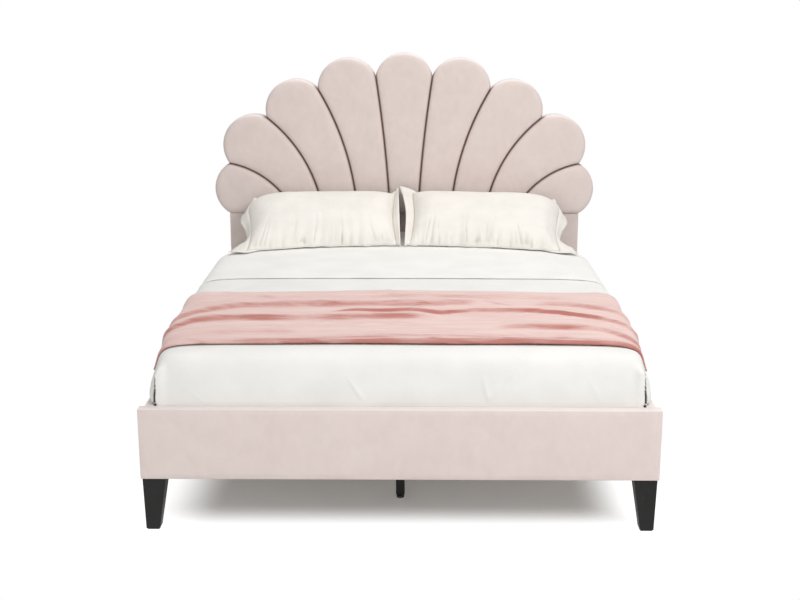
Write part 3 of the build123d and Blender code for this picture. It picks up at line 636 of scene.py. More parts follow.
# Petals of the fan
petals = {
    "count": 9,
    "voxel": 0.0045,
    "smoothing": 8,
    "crown": 0.005,
    "crownWidth": 0.07,
    "crownPower": 2.5,
    "faceDepth": 0.008,
    "roundDepth": 0.028,
    "pucker": 0.0007,
    "puckerSize": 0.03,
    # Where the painted seam shade sets in: how near the next petal, and how far behind the front.
    "seamNear": (0.004, 0.022),
    "seamDepth": (0.0035, 0.0115),
}


def outlineTree(points):
    tree = KDTree(len(points))
    for index, (x, z) in enumerate(points):
        tree.insert((x, z, 0), index)
    tree.balance()
    return tree


def softPad(number):
    # The CAD pad with an even mesh and softened edges, and the outline of its sides.
    nodeName = f"petal_{number}"
    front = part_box(nodeName)[0].y
    bm = cleanCopy(nodeName)
    piece = shown(nodeName + "_pad", bm, "frame", finishes["velvet"], [nodeName])
    remesh = piece.modifiers.new("remesh", "REMESH")
    remesh.mode = "VOXEL"
    remesh.voxel_size = petals["voxel"]
    applied(piece)
    bm = bmesh.new()
    bm.from_mesh(piece.data)
    for _ in range(petals["smoothing"]):
        bmesh.ops.smooth_vert(bm, verts=bm.verts, factor=0.5, use_axis_x=True, use_axis_y=True,
                              use_axis_z=True)
    bm.normal_update()
    sides = [(v.co.x, v.co.z) for v in bm.verts
             if abs(v.normal.y) < 0.35 and v.co.y > front + petals["roundDepth"]]
    return piece, bm, front, outlineTree(sides)


def crownPad(number, pads):
    # Lets the front fall back from its middle to its edges, so that it keeps clear of the mattress,
    # and marks the painted shade deep in the seam, by how deep each place lies between this petal
    # and the next.
    piece, bm, front, tree = pads[number]
    beside = [pads[near][3] for near in (number - 1, number + 1) if near in pads]
    seamShadeLayer = bm.verts.layers.float.new("seamDepth")
    for vert in bm.verts:
        flat = (vert.co.x, vert.co.z, 0)
        gap = min(near.find(flat)[2] for near in beside)
        close = 1 - smoothStep(*petals["seamNear"], gap)
        low, high = petals["seamDepth"]
        vert[seamShadeLayer] = close * smoothStep(front + low, front + high, vert.co.y)
        if vert.co.y > front + petals["roundDepth"]:
            continue
        inward = min(1.0, tree.find(flat)[2] / petals["crownWidth"])
        held = 1 - smoothStep(front + petals["faceDepth"], front + petals["roundDepth"], vert.co.y)
        fall = petals["crown"] * (1 - inward) ** petals["crownPower"]
        pucker = petals["pucker"] * (1 + bumpy(vert.co, petals["puckerSize"], number))
        vert.co.y += held * (fall + pucker)
    bm.to_mesh(piece.data)
    bm.free()
    piece.data.shade_smooth()


pads = {number: softPad(number) for number in range(1, petals["count"] + 1)}
for number in pads:
    crownPad(number, pads)
print("petals padded")


# Velvet border and dust cloth at the back of the headboard
backing = {
    "borderEdge": 0.0015,
    "borderSegments": 2,
    "spacing": 0.025,
    # How far the cloth sags between the timbers, and the distances from one over which it starts.
    "slack": 0.0020,
    "slackSize": 0.28,
    "edgeHold": (0.002, 0.06),
    "timbers": ("headboard_rim", "headboard_post_left", "headboard_post_right",
                "headboard_crossbars"),
    "stapleSpacing": 0.055,
    "stapleInset": 0.009,
    "staple": (0.010, 0.0012, 0.0008),
}
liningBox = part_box("headboard_back_lining")


def buildBorder():
    bm = cleanCopy("headboard_border")
    bmesh.ops.dissolve_limit(bm, angle_limit=radians(1), verts=bm.verts, edges=bm.edges)
    sharp = [e for e in bm.edges if len(e.link_faces) == 2 and e.calc_face_angle() > radians(60)]
    roundEdges(bm, sharp, backing["borderEdge"], backing["borderSegments"])
    bmesh.ops.triangulate(bm, faces=bm.faces)
    shown("headboard_border_velvet", bm, "frame", finishes["velvet"],
          ["headboard_border"], sharpAngle=radians(40))


def outlineOf(nodeName):
    # The node's outline in X and Z, in order, from its largest back face.
    bm = cleanCopy(nodeName)
    bmesh.ops.dissolve_limit(bm, angle_limit=radians(1), verts=bm.verts, edges=bm.edges)
    face = max(bm.faces, key=lambda f: f.calc_area())
    points = [loop.vert.co.copy() for loop in face.loops]
    bm.free()
    return points


def evenPlaces(points, spacing):
    # Places and directions at even steps round a closed outline.
    found = []
    due = 0.0
    for start, end in zip(points, points[1:] + points[:1]):
        length = (end - start).length
        way = (end - start) / max(length, 0.000001)
        while due < length:
            found.append((start + way * due, way))
            due += spacing
        due -= length
    return found


def buildLining():
    low, high = liningBox
    timbers = bmesh.new()
    for name in backing["timbers"]:
        timbers.from_mesh(nodes[name].data)
    tree = BVHTree.FromBMesh(timbers)
    timbers.free()
    bm = cleanCopy("headboard_back_lining")
    spans = Vector((low.x, low.y, low.z)), Vector((high.x, low.y + backing["spacing"], high.z))
    sliceBox(bm, *spans, backing["spacing"])
    for vert in bm.verts:
        away = tree.find_nearest(Vector((vert.co.x, low.y, vert.co.z)))[3]
        hold = smoothStep(*backing["edgeHold"], away)
        slack = backing["slack"] * (1 + bumpy((vert.co.x, 0, vert.co.z), backing["slackSize"]))
        vert.co.y -= hold * slack
    piece = shown("headboard_dust_cloth", bm, "frame", finishes["lining"],
                  ["headboard_back_lining"], sharpAngle=radians(40))


def buildStaples(outline):
    low, high = liningBox
    bm = bmesh.new()
    middle = Vector(((low.x + high.x) / 2, 0, (low.z + high.z) / 2))
    width, wire, rise = backing["staple"]
    for place, way in evenPlaces(outline, backing["stapleSpacing"]):
        inwards = Vector((-way.z, 0, way.x))
        if inwards.dot(middle - place) < 0:
            inwards = -inwards
        made = bmesh.ops.create_cube(bm, size=1)["verts"]
        bmesh.ops.scale(bm, vec=(width, rise, wire), verts=made)
        turn = atan2(way.z, way.x)
        bmesh.ops.rotate(bm, cent=(0, 0, 0), verts=made, matrix=Matrix.Rotation(-turn, 3, "Y"))
        spot = place + inwards * backing["stapleInset"]
        bmesh.ops.translate(bm, vec=(spot.x, high.y, spot.z), verts=made)
    shown("lining_staples", bm, "frame", finishes["steel"])


buildBorder()
liningOutline = outlineOf("headboard_back_lining")
buildLining()
buildStaples(liningOutline)
print("headboard backed")


# The shape that the coverlet, top sheet and throw take over the bed.
# Each curve gives how far in from the bed's side, and how far down from its top, its knots lie.
overBed = {
    "sideCurve": ((0.2345, 0.0018), (-0.0055, 0.0053), (-0.0050, 0.0113), (0.0, 0.1073)),
    "footCurve": ((0.0900, 0.0), (0.0180, 0.0020), (-0.0030, 0.0200), (0.0, 0.1000)),
    "swellLift": 0.006,
    # At the head the sides slope away, where the pillows' weight presses them down.
    "headDrop": 0.062,
    "headRun": (0.45, 0.85),
    "headReach": (0.62, 0.80),
    # Towards the foot the sides stand in a little, most of all at the corners.
    "cornerIn": 0.014,
    "cornerRun": (-1.05, -0.96),
    "shoulderIn": 0.028,
    "shoulderRun": (-0.97, -0.60),
    "shoulderLift": (0.435, 0.535),
    "curveSteps": 28,
    "tuckLift": 0.001,
    "tuckIn": 0.025,
    "tuckRound": 0.45,
    "tuckSteps": 8,
    "cornerPower": 6.0,
}
coverletLow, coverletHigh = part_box("coverlet")
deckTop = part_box("footboard_cover")[1].z
halfFlat = coverletHigh.x - overBed["sideCurve"][0][0]
footFlat = coverletLow.y + overBed["footCurve"][0][0]


def curvePoints(knots):
    # Places from the flat top outwards: (out from the flat top's edge, height).
    reach = knots[0][0]
    places = [Vector((reach - inwards, coverletHigh.z - down)) for inwards, down in knots]
    start, handleA, handleB, end = places
    return list(interpolate_bezier(start, handleA, handleB, end, overBed["curveSteps"]))


def sideLine():
    points = curvePoints(overBed["sideCurve"])
    last = Vector((points[-1].x, deckTop + overBed["swellLift"]))
    points.append(last)
    tuck = Vector((last.x - overBed["tuckIn"], deckTop + overBed["tuckLift"]))
    lift = Vector((0, (last.y - tuck.y) * overBed["tuckRound"]))
    points += interpolate_bezier(last, last - lift, tuck + lift, tuck, overBed["tuckSteps"])[1:]
    return points + [Vector((tuck.x, coverletLow.z))]


def footLine():
    points = curvePoints(overBed["footCurve"])
    return points + [Vector((points[-1].x, coverletLow.z))]


def lengthsAlong(points):
    lengths = [0.0]
    for start, end in zip(points, points[1:]):
        lengths.append(lengths[-1] + (end - start).length)
    return lengths


lines = {"side": sideLine(), "foot": footLine()}
lineLengths = {name: lengthsAlong(points) for name, points in lines.items()}


def onLine(name, share):
    # The place at a share of a line's length, from 0 at the flat top to 1 at the hem.
    points, lengths = lines[name], lineLengths[name]
    due = min(1.0, max(0.0, share)) * lengths[-1]
    for start, end, low, high in zip(points, points[1:], lengths, lengths[1:]):
        if due <= high:
            return start.lerp(end, (due - low) / (high - low))
    return points[-1]


def heightOn(name, out):
    # The height of a line over a place this far out from the flat top's edge.
    points = lines[name]
    if out <= 0:
        return points[0].y
    for start, end in zip(points, points[1:]):
        if start.x <= out <= end.x:
            return start.y + (end.y - start.y) * (out - start.x) / (end.x - start.x)
    return points[overBed["curveSteps"] - 1].y


def pressedAtHead(x, y, z):
    # How far the pillows' weight presses a place down.
    share = smoothStep(*overBed["headRun"], y) * smoothStep(*overBed["headReach"], abs(x))
    return overBed["headDrop"] * share * smoothStep(deckTop, coverletHigh.z, z)


def coverHeight(x, y):
    height = min(heightOn("side", abs(x) - halfFlat), heightOn("foot", footFlat - y))
    return height - pressedAtHead(x, y, height)


def standingIn(y, z):
    # How far in from its full width the side stands at a place.
    corner = 1 - smoothStep(*overBed["cornerRun"], y)
    shoulder = window(z, overBed["shoulderLift"]) * (1 - smoothStep(*overBed["shoulderRun"], y))
    tucked = smoothStep(deckTop + overBed["tuckLift"], deckTop + overBed["swellLift"], z)
    return (overBed["cornerIn"] * corner + overBed["shoulderIn"] * shoulder) * tucked


def overBedPlace(across, along, sideShare, footShare):
    # across and along are places on the flat top; the shares go down the side and the foot.
    camber = overBed["sideCurve"][0][1] * (across / halfFlat) ** 2
    if sideShare <= 0 and footShare <= 0:
        top = coverletHigh.z - camber
        return Vector((across, along, top - pressedAtHead(across, along, top)))
    power = overBed["cornerPower"]
    sideShare, footShare = max(0, sideShare), max(0, footShare)
    drop = (sideShare ** power + footShare ** power) ** (1 / power)
    side, foot = onLine("side", drop), onLine("foot", drop)
    toFoot = (footShare / drop) ** power
    y = along - foot.x * footShare / drop
    z = side.y * (1 - toFoot) + (foot.y - camber * (1 - drop)) * toFoot
    fullOut = lines["side"][-1].x + overBed["tuckIn"]
    inwards = standingIn(y, z) * min(1, side.x / fullOut)
    x = across + copysign((side.x - inwards) * sideShare / drop, across)
    return Vector((x, y, z - pressedAtHead(x, y, z)))


def acrossBed(column, stops):
    # How far a grid's column lies from the bed's middle, its place on the flat top, and how far
    # down the side line it is.
    reach = steps(abs(column), stops)
    return reach, copysign(min(reach, halfFlat), column), max(0, reach - halfFlat)


def offBed(place, across, sideShare, distance):
    # Moves a place straight off the bed's surface by a distance.
    low, high = onLine("side", sideShare - 0.02), onLine("side", sideShare + 0.02)
    way = (high - low).normalized() if sideShare > 0 else Vector((1, 0))
    return place + Vector((copysign(-way.y, across), 0, way.x)) * distance


# Mattress and fitted sheet
bedding = {
    "cornerRadius": 0.055,
    "topRadius": 0.038,
    "segments": 6,
    "spacing": 0.03,
    "tapeRise": 0.0035,
    "tapeHeight": 0.007,
    "tapeSteps": (-0.007, -0.0035, 0.0, 0.0035, 0.007),
    "tapeFromEdge": 0.018,
    "tapeSink": 0.0028,
    "unevenness": 0.0006,
    "unevenSize": 0.15,
    "sheetThickness": 0.0012,
    "sheetUnevenness": 0.0003,
    "sheetUnevenSize": 0.10,
    "sheetWave": 0.00048,
    "sheetWaveTurn": 90,  # radians in each metre round the hem
    "pressFrom": 0.12,
    "cornerPull": 0.008,
    "underCover": 0.0072,
}


def roundedBlock(low, high):
    bm = boxMesh(low, high)
    upright = [e for e in bm.edges if abs(e.verts[0].co.z - e.verts[1].co.z) > 0.01]
    roundEdges(bm, upright, bedding["cornerRadius"], bedding["segments"])
    top = max(bm.faces, key=lambda f: f.calc_center_median().z)
    roundEdges(bm, top.edges[:], bedding["topRadius"], bedding["segments"])
    return bm


def pressDown(bm, top, gap):
    # The bedding pulls the soft upper edges down and the foot corners in, with a gap over them.
    start = top - bedding["pressFrom"]
    for vert in bm.verts:
        vert.co.x *= 1 - bedding["cornerPull"] * (1 - smoothStep(*overBed["cornerRun"], vert.co.y))
        if vert.co.z > start:
            limit = coverHeight(vert.co.x, vert.co.y) - gap
            vert.co.z = start + (vert.co.z - start) * min(1, (limit - start) / (top - start))


def buildMattress():
    low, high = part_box("mattress_ticking")
    bm = roundedBlock(low, high)
    sliceBox(bm, low, high, bedding["spacing"])
    inset = bedding["tapeFromEdge"]
    tapes = (low.z + inset, high.z - bedding["topRadius"] - inset)
    for height in tapes:
        for step in bedding["tapeSteps"]:
            bmesh.ops.bisect_plane(bm, geom=bm.verts[:] + bm.edges[:] + bm.faces[:],
                                   plane_co=(0, 0, height + step), plane_no=(0, 0, 1))
    bm.normal_update()
    for vert in bm.verts:
        amount = bedding["unevenness"] * (bumpy(vert.co, bedding["unevenSize"]) - 1)
        for height in tapes:
            away = abs(vert.co.z - height) / bedding["tapeHeight"]
            if away < 1 and abs(vert.normal.z) < 0.5:
                amount += bedding["tapeRise"] * sqrt(1 - away * away) - bedding["tapeSink"]
        vert.co += vert.normal * amount
    pressDown(bm, high.z, bedding["underCover"] + 2 * bedding["sheetThickness"])
    piece = shown("mattress_body", bm, "mattress", finishes["ticking"],
                  ["mattress_ticking", "mattress_core", "mattress_topper"])


def buildSheet():
    low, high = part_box("fitted_sheet")
    bm = roundedBlock(low, high)
    bottom = min(bm.faces, key=lambda f: f.calc_center_median().z)
    bmesh.ops.delete(bm, geom=[bottom], context="FACES_ONLY")
    sliceBox(bm, low, high, bedding["spacing"] * 0.7)
    bm.normal_update()
    for vert in bm.verts:
        amount = bedding["sheetUnevenness"] * bumpy(vert.co, bedding["sheetUnevenSize"])
        wave = sin((vert.co.x + vert.co.y) * bedding["sheetWaveTurn"])
        amount += (1 - abs(vert.normal.z)) * bedding["sheetWave"] * wave
        vert.co += vert.normal * amount
    pressDown(bm, high.z, bedding["underCover"])
    piece = shown("fitted_sheet_cloth", bm, "mattress", finishes["sheet"],
                  ["fitted_sheet"])
    walled(piece, bedding["sheetThickness"])


buildMattress()
buildSheet()
print("mattress dressed")


coverlet = {
    "columns": 240,
    "rows": 190,
    # Shares of the half width's columns, and where they end; they are closest at the creases.
    "columnStops": ((0, 0), (0.05, 0.10), (0.16, 0.17), (0.20, 0.245), (0.42, 0.385)),
    "flatColumns": 0.47,
    "footRows": 0.55,
    "thickness": 0.0045,
    "softness": 0.0016,
    "softSize": 0.34,
    "sideWave": 0.005,
    "sideWaveSize": 0.16,
    "sideWaveSink": 0.4,
    "sideWaveRun": (0.003, 0.06),
    "sideRun": (0.75, 1.0),
    # Shares of the way down a line: where the flat top ends, and where a hanging panel begins.
    "topRun": (0.2, 0.5),
    "panelRun": (0.2, 0.4),
    "bellyOut": 0.005,
    "bellyHeight": 0.455,
    "bellySpan": 0.045,
    "bellyHalf": 0.80,
    "bellyPower": 6,
    # Heights over the footboard between which the foot panel's relief begins.
    "reliefRun": (-0.004, 0.016),
    # Creases on the foot panel: start and end as (X, Z), height and width.
    "creases": (((-0.158, 0.496), (-0.114, 0.428), 0.0030, 0.0065),
                ((0.260, 0.502), (0.2755, 0.428), 0.0034, 0.0060),
                ((0.2755, 0.428), (0.372, 0.525), 0.0032, 0.0065),
                ((-0.678, 0.473), (-0.6035, 0.412), 0.0009, 0.0075),
                ((0.590, 0.490), (0.630, 0.420), 0.0014, 0.0090)),
    # The mitred fold at each foot corner: the panel's edge in X, its top, the groove beside it and
    # the painted shade in that groove.
    "foldPlace": 0.7635,
    "foldTop": (0.510, 0.550),
    "foldFlushFrom": (-0.045, -0.015),
    "foldFlushTo": (-0.001, 0.0015),
    "foldGroove": 0.028,
    "foldGrooveWidth": (0.0024, 0.0033),
    "groovePaintedShade": (1.1, 2.4),
    # The lowest part of each side spreads out over the rail near the foot.
    "flareOut": 0.003,
    "flareHeight": 0.425,
    "flareSpan": 0.022,
    "flareRun": (-0.96, -0.80),
    "flareFade": 0.8,
}


def ridge(place, start, end, width):
    # 1 on the line between two places, falling off to the sides and fading at its ends.
    start, end = Vector(start), Vector(end)
    way = end - start
    share = (Vector(place) - start).dot(way) / way.length_squared
    held = min(1.0, max(0.0, share))
    away = (Vector(place) - start - way * held).length
    return exp(-(away / width) ** 2) * window(share, (-0.2, 0.25), (0.75, 1.2))


def mitreAt(z):
    # How far the mitred fold has opened at a height.
    return 1 - smoothStep(*coverlet["foldTop"], z)


def inGroove(x, z):
    # 1 in the middle of the groove beside the mitred fold, falling off to its sides.
    narrow, wide = coverlet["foldGrooveWidth"]
    width = wide + (narrow - wide) * smoothStep(deckTop, coverlet["foldTop"][1], z)
    return mitreAt(z) * exp(-((abs(x) - coverlet["foldPlace"] - width) / width) ** 4)


def footPanelRelief(place, footShare):
    # How far a place on the foot panel stands out towards the foot.
    x, z = abs(place.x), place.z
    belly = exp(-((z - coverlet["bellyHeight"]) / coverlet["bellySpan"]) ** 2)
    out = coverlet["bellyOut"] * belly * (1 - (x / coverlet["bellyHalf"]) ** coverlet["bellyPower"])
    for start, end, height, width in coverlet["creases"]:
        out += height * ridge((place.x, z), start, end, width)
    out *= window(z, about(deckTop, coverlet["reliefRun"]))
    # The panel comes flush with the CAD face along the fold, and ends sharply beside the groove.
    edge = coverlet["foldPlace"]
    starts, ends = about(edge, coverlet["foldFlushFrom"]), about(edge, coverlet["foldFlushTo"])
    flush = window(x, starts, ends)
    out += mitreAt(z) * flush * (place.y - coverletLow.y)
    out -= coverlet["foldGroove"] * inGroove(x, z)
    return out * smoothStep(*coverlet["panelRun"], footShare)


def buildCoverlet():
    bm = gridMesh(coverlet["columns"], coverlet["rows"])
    depth = bm.verts.layers.float.new("paintedCreaseShade")
    faint, deep = coverlet["groovePaintedShade"]
    topLength = coverletHigh.y - footFlat
    acrossStops = (*coverlet["columnStops"], (coverlet["flatColumns"], halfFlat), (1, halfFlat + 1))
    alongStops = ((0, 0), (1 - coverlet["footRows"], topLength), (1, topLength + 1))
    for vert in bm.verts:
        across, sideShare = acrossBed(vert.co.x, acrossStops)[1:]
        run = steps((1 - vert.co.y) / 2, alongStops)
        footShare = max(0, run - topLength)
        place = overBedPlace(across, coverletHigh.y - min(run, topLength), sideShare, footShare)
        onTop = 1 - smoothStep(*coverlet["topRun"], max(sideShare, footShare))
        place.z -= onTop * coverlet["softness"] * (0.5 + 0.5 * bumpy(place, coverlet["softSize"]))
        if footShare > 0:
            place.y -= footPanelRelief(place, footShare)
            # Painted shade in the groove beside the mitred fold, deeper lower down.
            shade = deep + (faint - deep) * smoothStep(deckTop, coverlet["foldTop"][0], place.z)
            onPanel = smoothStep(*coverlet["panelRun"], footShare)
            vert[depth] = shade * inGroove(place.x, place.z) * onPanel
        if sideShare > coverlet["panelRun"][0]:
            above = window(place.z, about(deckTop, coverlet["sideWaveRun"]))
            wave = bumpy((0, place.y, place.z * 0.3), coverlet["sideWaveSize"], 3.0)
            rise = (place.z - coverlet["flareHeight"]) / coverlet["flareSpan"]
            flare = coverlet["flareOut"] * exp(-rise * rise)
            flare *= 1 - coverlet["flareFade"] * smoothStep(*coverlet["flareRun"], place.y)
            aside = window(sideShare / max(sideShare, footShare), coverlet["sideRun"])
            wave = coverlet["sideWave"] * (wave - coverlet["sideWaveSink"])
            out = (wave * above + flare) * aside
            place.x += copysign(out, place.x)
        vert.co = place
    piece = shown("coverlet_cloth", bm, "coverlet", finishes["coverlet"],
                  ["coverlet"])
    walled(piece, coverlet["thickness"])
    flat = (2 * (halfFlat + lineLengths["side"][-1]), topLength + lineLengths["foot"][-1])


buildCoverlet()
print("coverlet laid")


# Top sheet, turned down over the coverlet, with a soft folded edge towards the foot
topSheet = {
    "columns": 170,
    "rows": 90,
    "flatColumns": 0.62,
    "edgeRows": 0.16,
    "edgeDepth": 0.03,
    "thickness": 0.0022,
    "clearance": 0.0006,
    "edgeLift": 0.0012,
    "edgeRun": 0.009,
    "edgeSize": 0.09,
    "edgeVaries": (0.8, 0.6),
    "edgeWander": 0.006,
    "wanderSize": 0.35,
    "softness": 0.0012,
    "softSize": 0.22,
    "softFrom": 0.1,
    # Soft pulls that run from the pillows towards the fold: start and end in plan, height, width.
    "pulls": (((-0.52, 0.46), (-0.42, 0.08), 0.0016, 0.016),
              ((-0.08, 0.50), (-0.02, 0.12), 0.0010, 0.022),
              ((0.30, 0.48), (0.36, 0.10), 0.0012, 0.020),
              ((0.60, 0.40), (0.66, 0.06), 0.0014, 0.018)),
}
topSheetLow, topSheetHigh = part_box("top_sheet")


def shareAtHeight(height):
    # The share of the side line at which it has come down to a height.
    return next(step / 200 for step in range(201) if onLine("side", step / 200).y <= height)


def buildTopSheet():
    bm = gridMesh(topSheet["columns"], topSheet["rows"])
    hem = shareAtHeight(topSheetLow.z + 0.001)
    length = topSheetHigh.y - topSheetLow.y
    acrossStops = ((0, 0), (topSheet["flatColumns"], halfFlat), (1, halfFlat + hem))
    alongStops = ((0, 0), (topSheet["edgeRows"], topSheet["edgeDepth"]), (1, length))
    rise = topSheet["thickness"] + topSheet["clearance"]
    level, varies = topSheet["edgeVaries"]
    for vert in bm.verts:
        reach, across, sideShare = acrossBed(vert.co.x, acrossStops)
        run = steps((vert.co.y + 1) / 2, alongStops)
        place = overBedPlace(across, topSheetLow.y + run, sideShare, 0)
        span = reach if vert.co.x > 0 else -reach
        wander = topSheet["edgeWander"] * bumpy((span, 0, 0), topSheet["wanderSize"], 8.0)
        place.y += wander * (1 - run / length)
        lift = topSheet["edgeLift"] * exp(-(run / topSheet["edgeRun"]) ** 2)
        lift *= level + varies * bumpy((span, 0, 0), topSheet["edgeSize"], 2.0)
        soft = topSheet["softness"] * (0.5 + 0.5 * bumpy(place, topSheet["softSize"], 4.0))
        lift += soft * smoothStep(0, topSheet["softFrom"], run)
        for start, end, height, width in topSheet["pulls"]:
            lift += height * ridge((place.x, place.y), start, end, width)
        vert.co = offBed(place, across, sideShare, rise + max(0, lift))
    piece = shown("top_sheet_cloth", bm, "coverlet", finishes["sheet"],
                  ["top_sheet"])
    walled(piece, topSheet["thickness"])
    2 * (halfFlat + hem * lineLengths["side"][-1])


buildTopSheet()
print("top sheet turned down")


# Throw with long soft folds across the bed.
# Each fold is a crest line of (X, Y) places, with its height, its width and how dark the painted
# shade on its front is.
throw = {
    "columns": 250,
    "rows": 160,
    "flatColumns": 0.66,
    "thickness": 0.0040,
    "clearance": 0.0008,
    "hemLift": 0.009,
    # How far the front and back edges wander, and over what length.
    "frontWander": (0.004, 0.3),
    "backWander": (0.004, 0.2),
    # The soft roll along the front edge.
    "rollHeight": 0.0085,
    "rollDepth": 0.014,
    "rollRun": 0.10,
    "rollFade": 0.7,
    # Small ripples all over, and crinkles where the cloth is busy, both drawn out across the bed.
    "ripple": 0.0014,
    "rippleLevel": 0.6,
    "ripplePitch": 0.024,
    "rippleStretch": 0.13,
    "crinkle": 0.0022,
    "crinkleSharp": 4,
    "crinkleSize": 0.034,
    "crinkleStretch": (0.22, 0.1),
    # Painted shade in the crinkles.
    "crinklePaintedShade": 0.30,
    "busySize": 0.16,
    "busyStretch": 0.5,
    "busyMore": 0.12,
    "busyRun": (0.0, 0.35),
    # The painted shade on the front hem's band: how dark it is at the left, what it gains to the
    # right, and where.
    "hemDark": (0.25, 0.9),
    "hemDarkRun": (-0.62, -0.20),
    "hemDarkVaries": (1.1, 0.13),
    "hemReach": (-0.012, 0.066),
    "hemReachVaries": 0.06,
    # Fainter painted shade behind the hem, and painted shade on the hanging sides.
    "frontDark": 0.25,
    "frontDarkRun": (0.02, 0.13),
    "sidePaintedShade": 0.12,
    "sidePaintedShadeFrom": 0.25,
    # The edge towards the head lifts a little at the sides, where the folds grow calmer.
    "backLift": 0.011,
    "backLiftSide": (0.2, 0.5),
    "backLiftRun": (0.02, 0.16),
    "sideCalm": 0.45,
    "sideCalmFrom": 0.15,
    # The folds grow from nothing over these distances from the back and front edges.
    "foldsFromBack": (0.0, 0.07),
    "foldsFromFront": (0.0, 0.06),
    # How far a fold's crest wanders along it and in small steps, and how much its width changes.
    "crestWander": (0.006, 0.12),
    "crestKinks": (0.0025, 0.035),
    "widthWander": (0.35, 0.17),
    # A fold falls gently to the back and steeply to the front, as shares of its width.
    "foldSlopes": (1.5, 0.55),
    "foldStart": (-0.02, 0.12),
    "foldEnd": (-0.12, 0.02),
    # The painted shade on a fold's front: its place and its widths to the front and back, as such
    # shares.
    "darkPlace": -0.5,
    "darkWidths": (0.50, 0.62),
    # How unevenly the painted shade on fold fronts is laid, over what size, and its least.
    "unevenShade": (0.95, 0.7),
    "unevenShadeSize": 0.16,
    "unevenShadeLeast": 0.35,
    "folds": (
        (((-0.86, -0.62), (-0.72, -0.545), (-0.587, -0.478), (-0.345, -0.457), (0.0, -0.443),
          (0.21, -0.430), (0.33, -0.415)), 0.013, 0.040, 0.9),
        (((0.27, -0.395), (0.33, -0.425), (0.42, -0.470)), 0.009, 0.016, 1.0),
        (((0.42, -0.455), (0.54, -0.438), (0.71, -0.478), (0.86, -0.56)), 0.010, 0.036, 0.7),
        (((-0.88, -0.78), (-0.746, -0.700), (-0.69, -0.655), (-0.60, -0.645), (-0.37, -0.643),
          (0.0, -0.622), (0.14, -0.615)), 0.014, 0.036, 1.1),
        (((-0.26, -0.585), (0.0, -0.570), (0.14, -0.583), (0.26, -0.553), (0.43, -0.553),
          (0.545, -0.573), (0.656, -0.628), (0.74, -0.675), (0.86, -0.75)), 0.013, 0.015, 1.5),
        (((0.28, -0.765), (0.43, -0.748), (0.60, -0.758), (0.71, -0.803), (0.86, -0.89)),
         0.012, 0.034, 0.9),
        (((-0.86, -0.86), (-0.70, -0.815), (-0.50, -0.80), (-0.28, -0.805)), 0.007, 0.050, 0.5),
        (((-0.60, -0.345), (-0.20, -0.335), (0.20, -0.325), (0.66, -0.350)), 0.006, 0.044, 0.4),
        (((-0.30, -0.855), (0.05, -0.86), (0.40, -0.85)), 0.004, 0.040, 0.3),
    ),
    # Where the edge towards the head lies, by distance from the middle.
    "backEdge": ((0, -0.233), (0.37, -0.250), (0.575, -0.260), (0.74, -0.246), (0.90, -0.235)),
}
throwLow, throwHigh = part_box("throw_blanket")


def foldAt(x, y):
    # The height of the folds at a place, and the painted shade on their fronts.
    height, dark = 0.0, 0.0
    level, varies = throw["unevenShade"]
    for points, rise, width, depth in throw["folds"]:
        first, last = points[0][0], points[-1][0]
        fade = window(x, about(first, throw["foldStart"]), about(last, throw["foldEnd"]))
        if fade <= 0:
            continue
        own = points[0][1]  # makes each fold's wandering its own
        crest = curve(x, points) + wandering((x, 0, 0), throw["crestWander"], own * 9)
        crest += wandering((x, y, 0), throw["crestKinks"], own * 5)
        away = (y - crest) / (width * (1 + wandering((x, 0, 0), throw["widthWander"], own * 3)))
        height += rise * fade * exp(-(away / throw["foldSlopes"][0 if away > 0 else 1]) ** 2)
        front = away - throw["darkPlace"]
        front /= throw["darkWidths"][0 if front < 0 else 1]
        unevenShade = level + varies * bumpy((x, y * 0.5, 0), throw["unevenShadeSize"], own * 7)
        dark += depth * fade * exp(-front * front) * max(throw["unevenShadeLeast"], unevenShade)
    return height, dark


def crinkled(x, y):
    # The ripples at a place, and how sharply it is crinkled.
    fine = bumpy((x * throw["rippleStretch"], y, 0), throw["ripplePitch"], 5.0)
    along, lean = throw["crinkleStretch"]
    crinkle = abs(bumpy((x * along + y * lean, y, 0), throw["crinkleSize"], 9.0))
    crinkle = 1 - crinkle * throw["crinkleSharp"]
    busy = bumpy((x * throw["busyStretch"], y, 0), throw["busySize"], 1.5)
    busy = window(busy + throw["busyMore"], throw["busyRun"])
    return fine, max(0, crinkle), busy


def frontShade(span, fromFront, fine):
    # The painted shade on the front hem's band, which is uneven, and the fainter painted shade
    # behind it.
    least, gain = throw["hemDark"]
    dark = least + gain * window(span, throw["hemDarkRun"])
    dark += wandering((span, 0, 0), throw["hemDarkVaries"], 12.0)
    start, end = throw["hemReach"]
    dark *= 1 - smoothStep(start, end + throw["hemReachVaries"] * fine, fromFront)
    return dark, throw["frontDark"] * (1 - window(fromFront, throw["frontDarkRun"]))


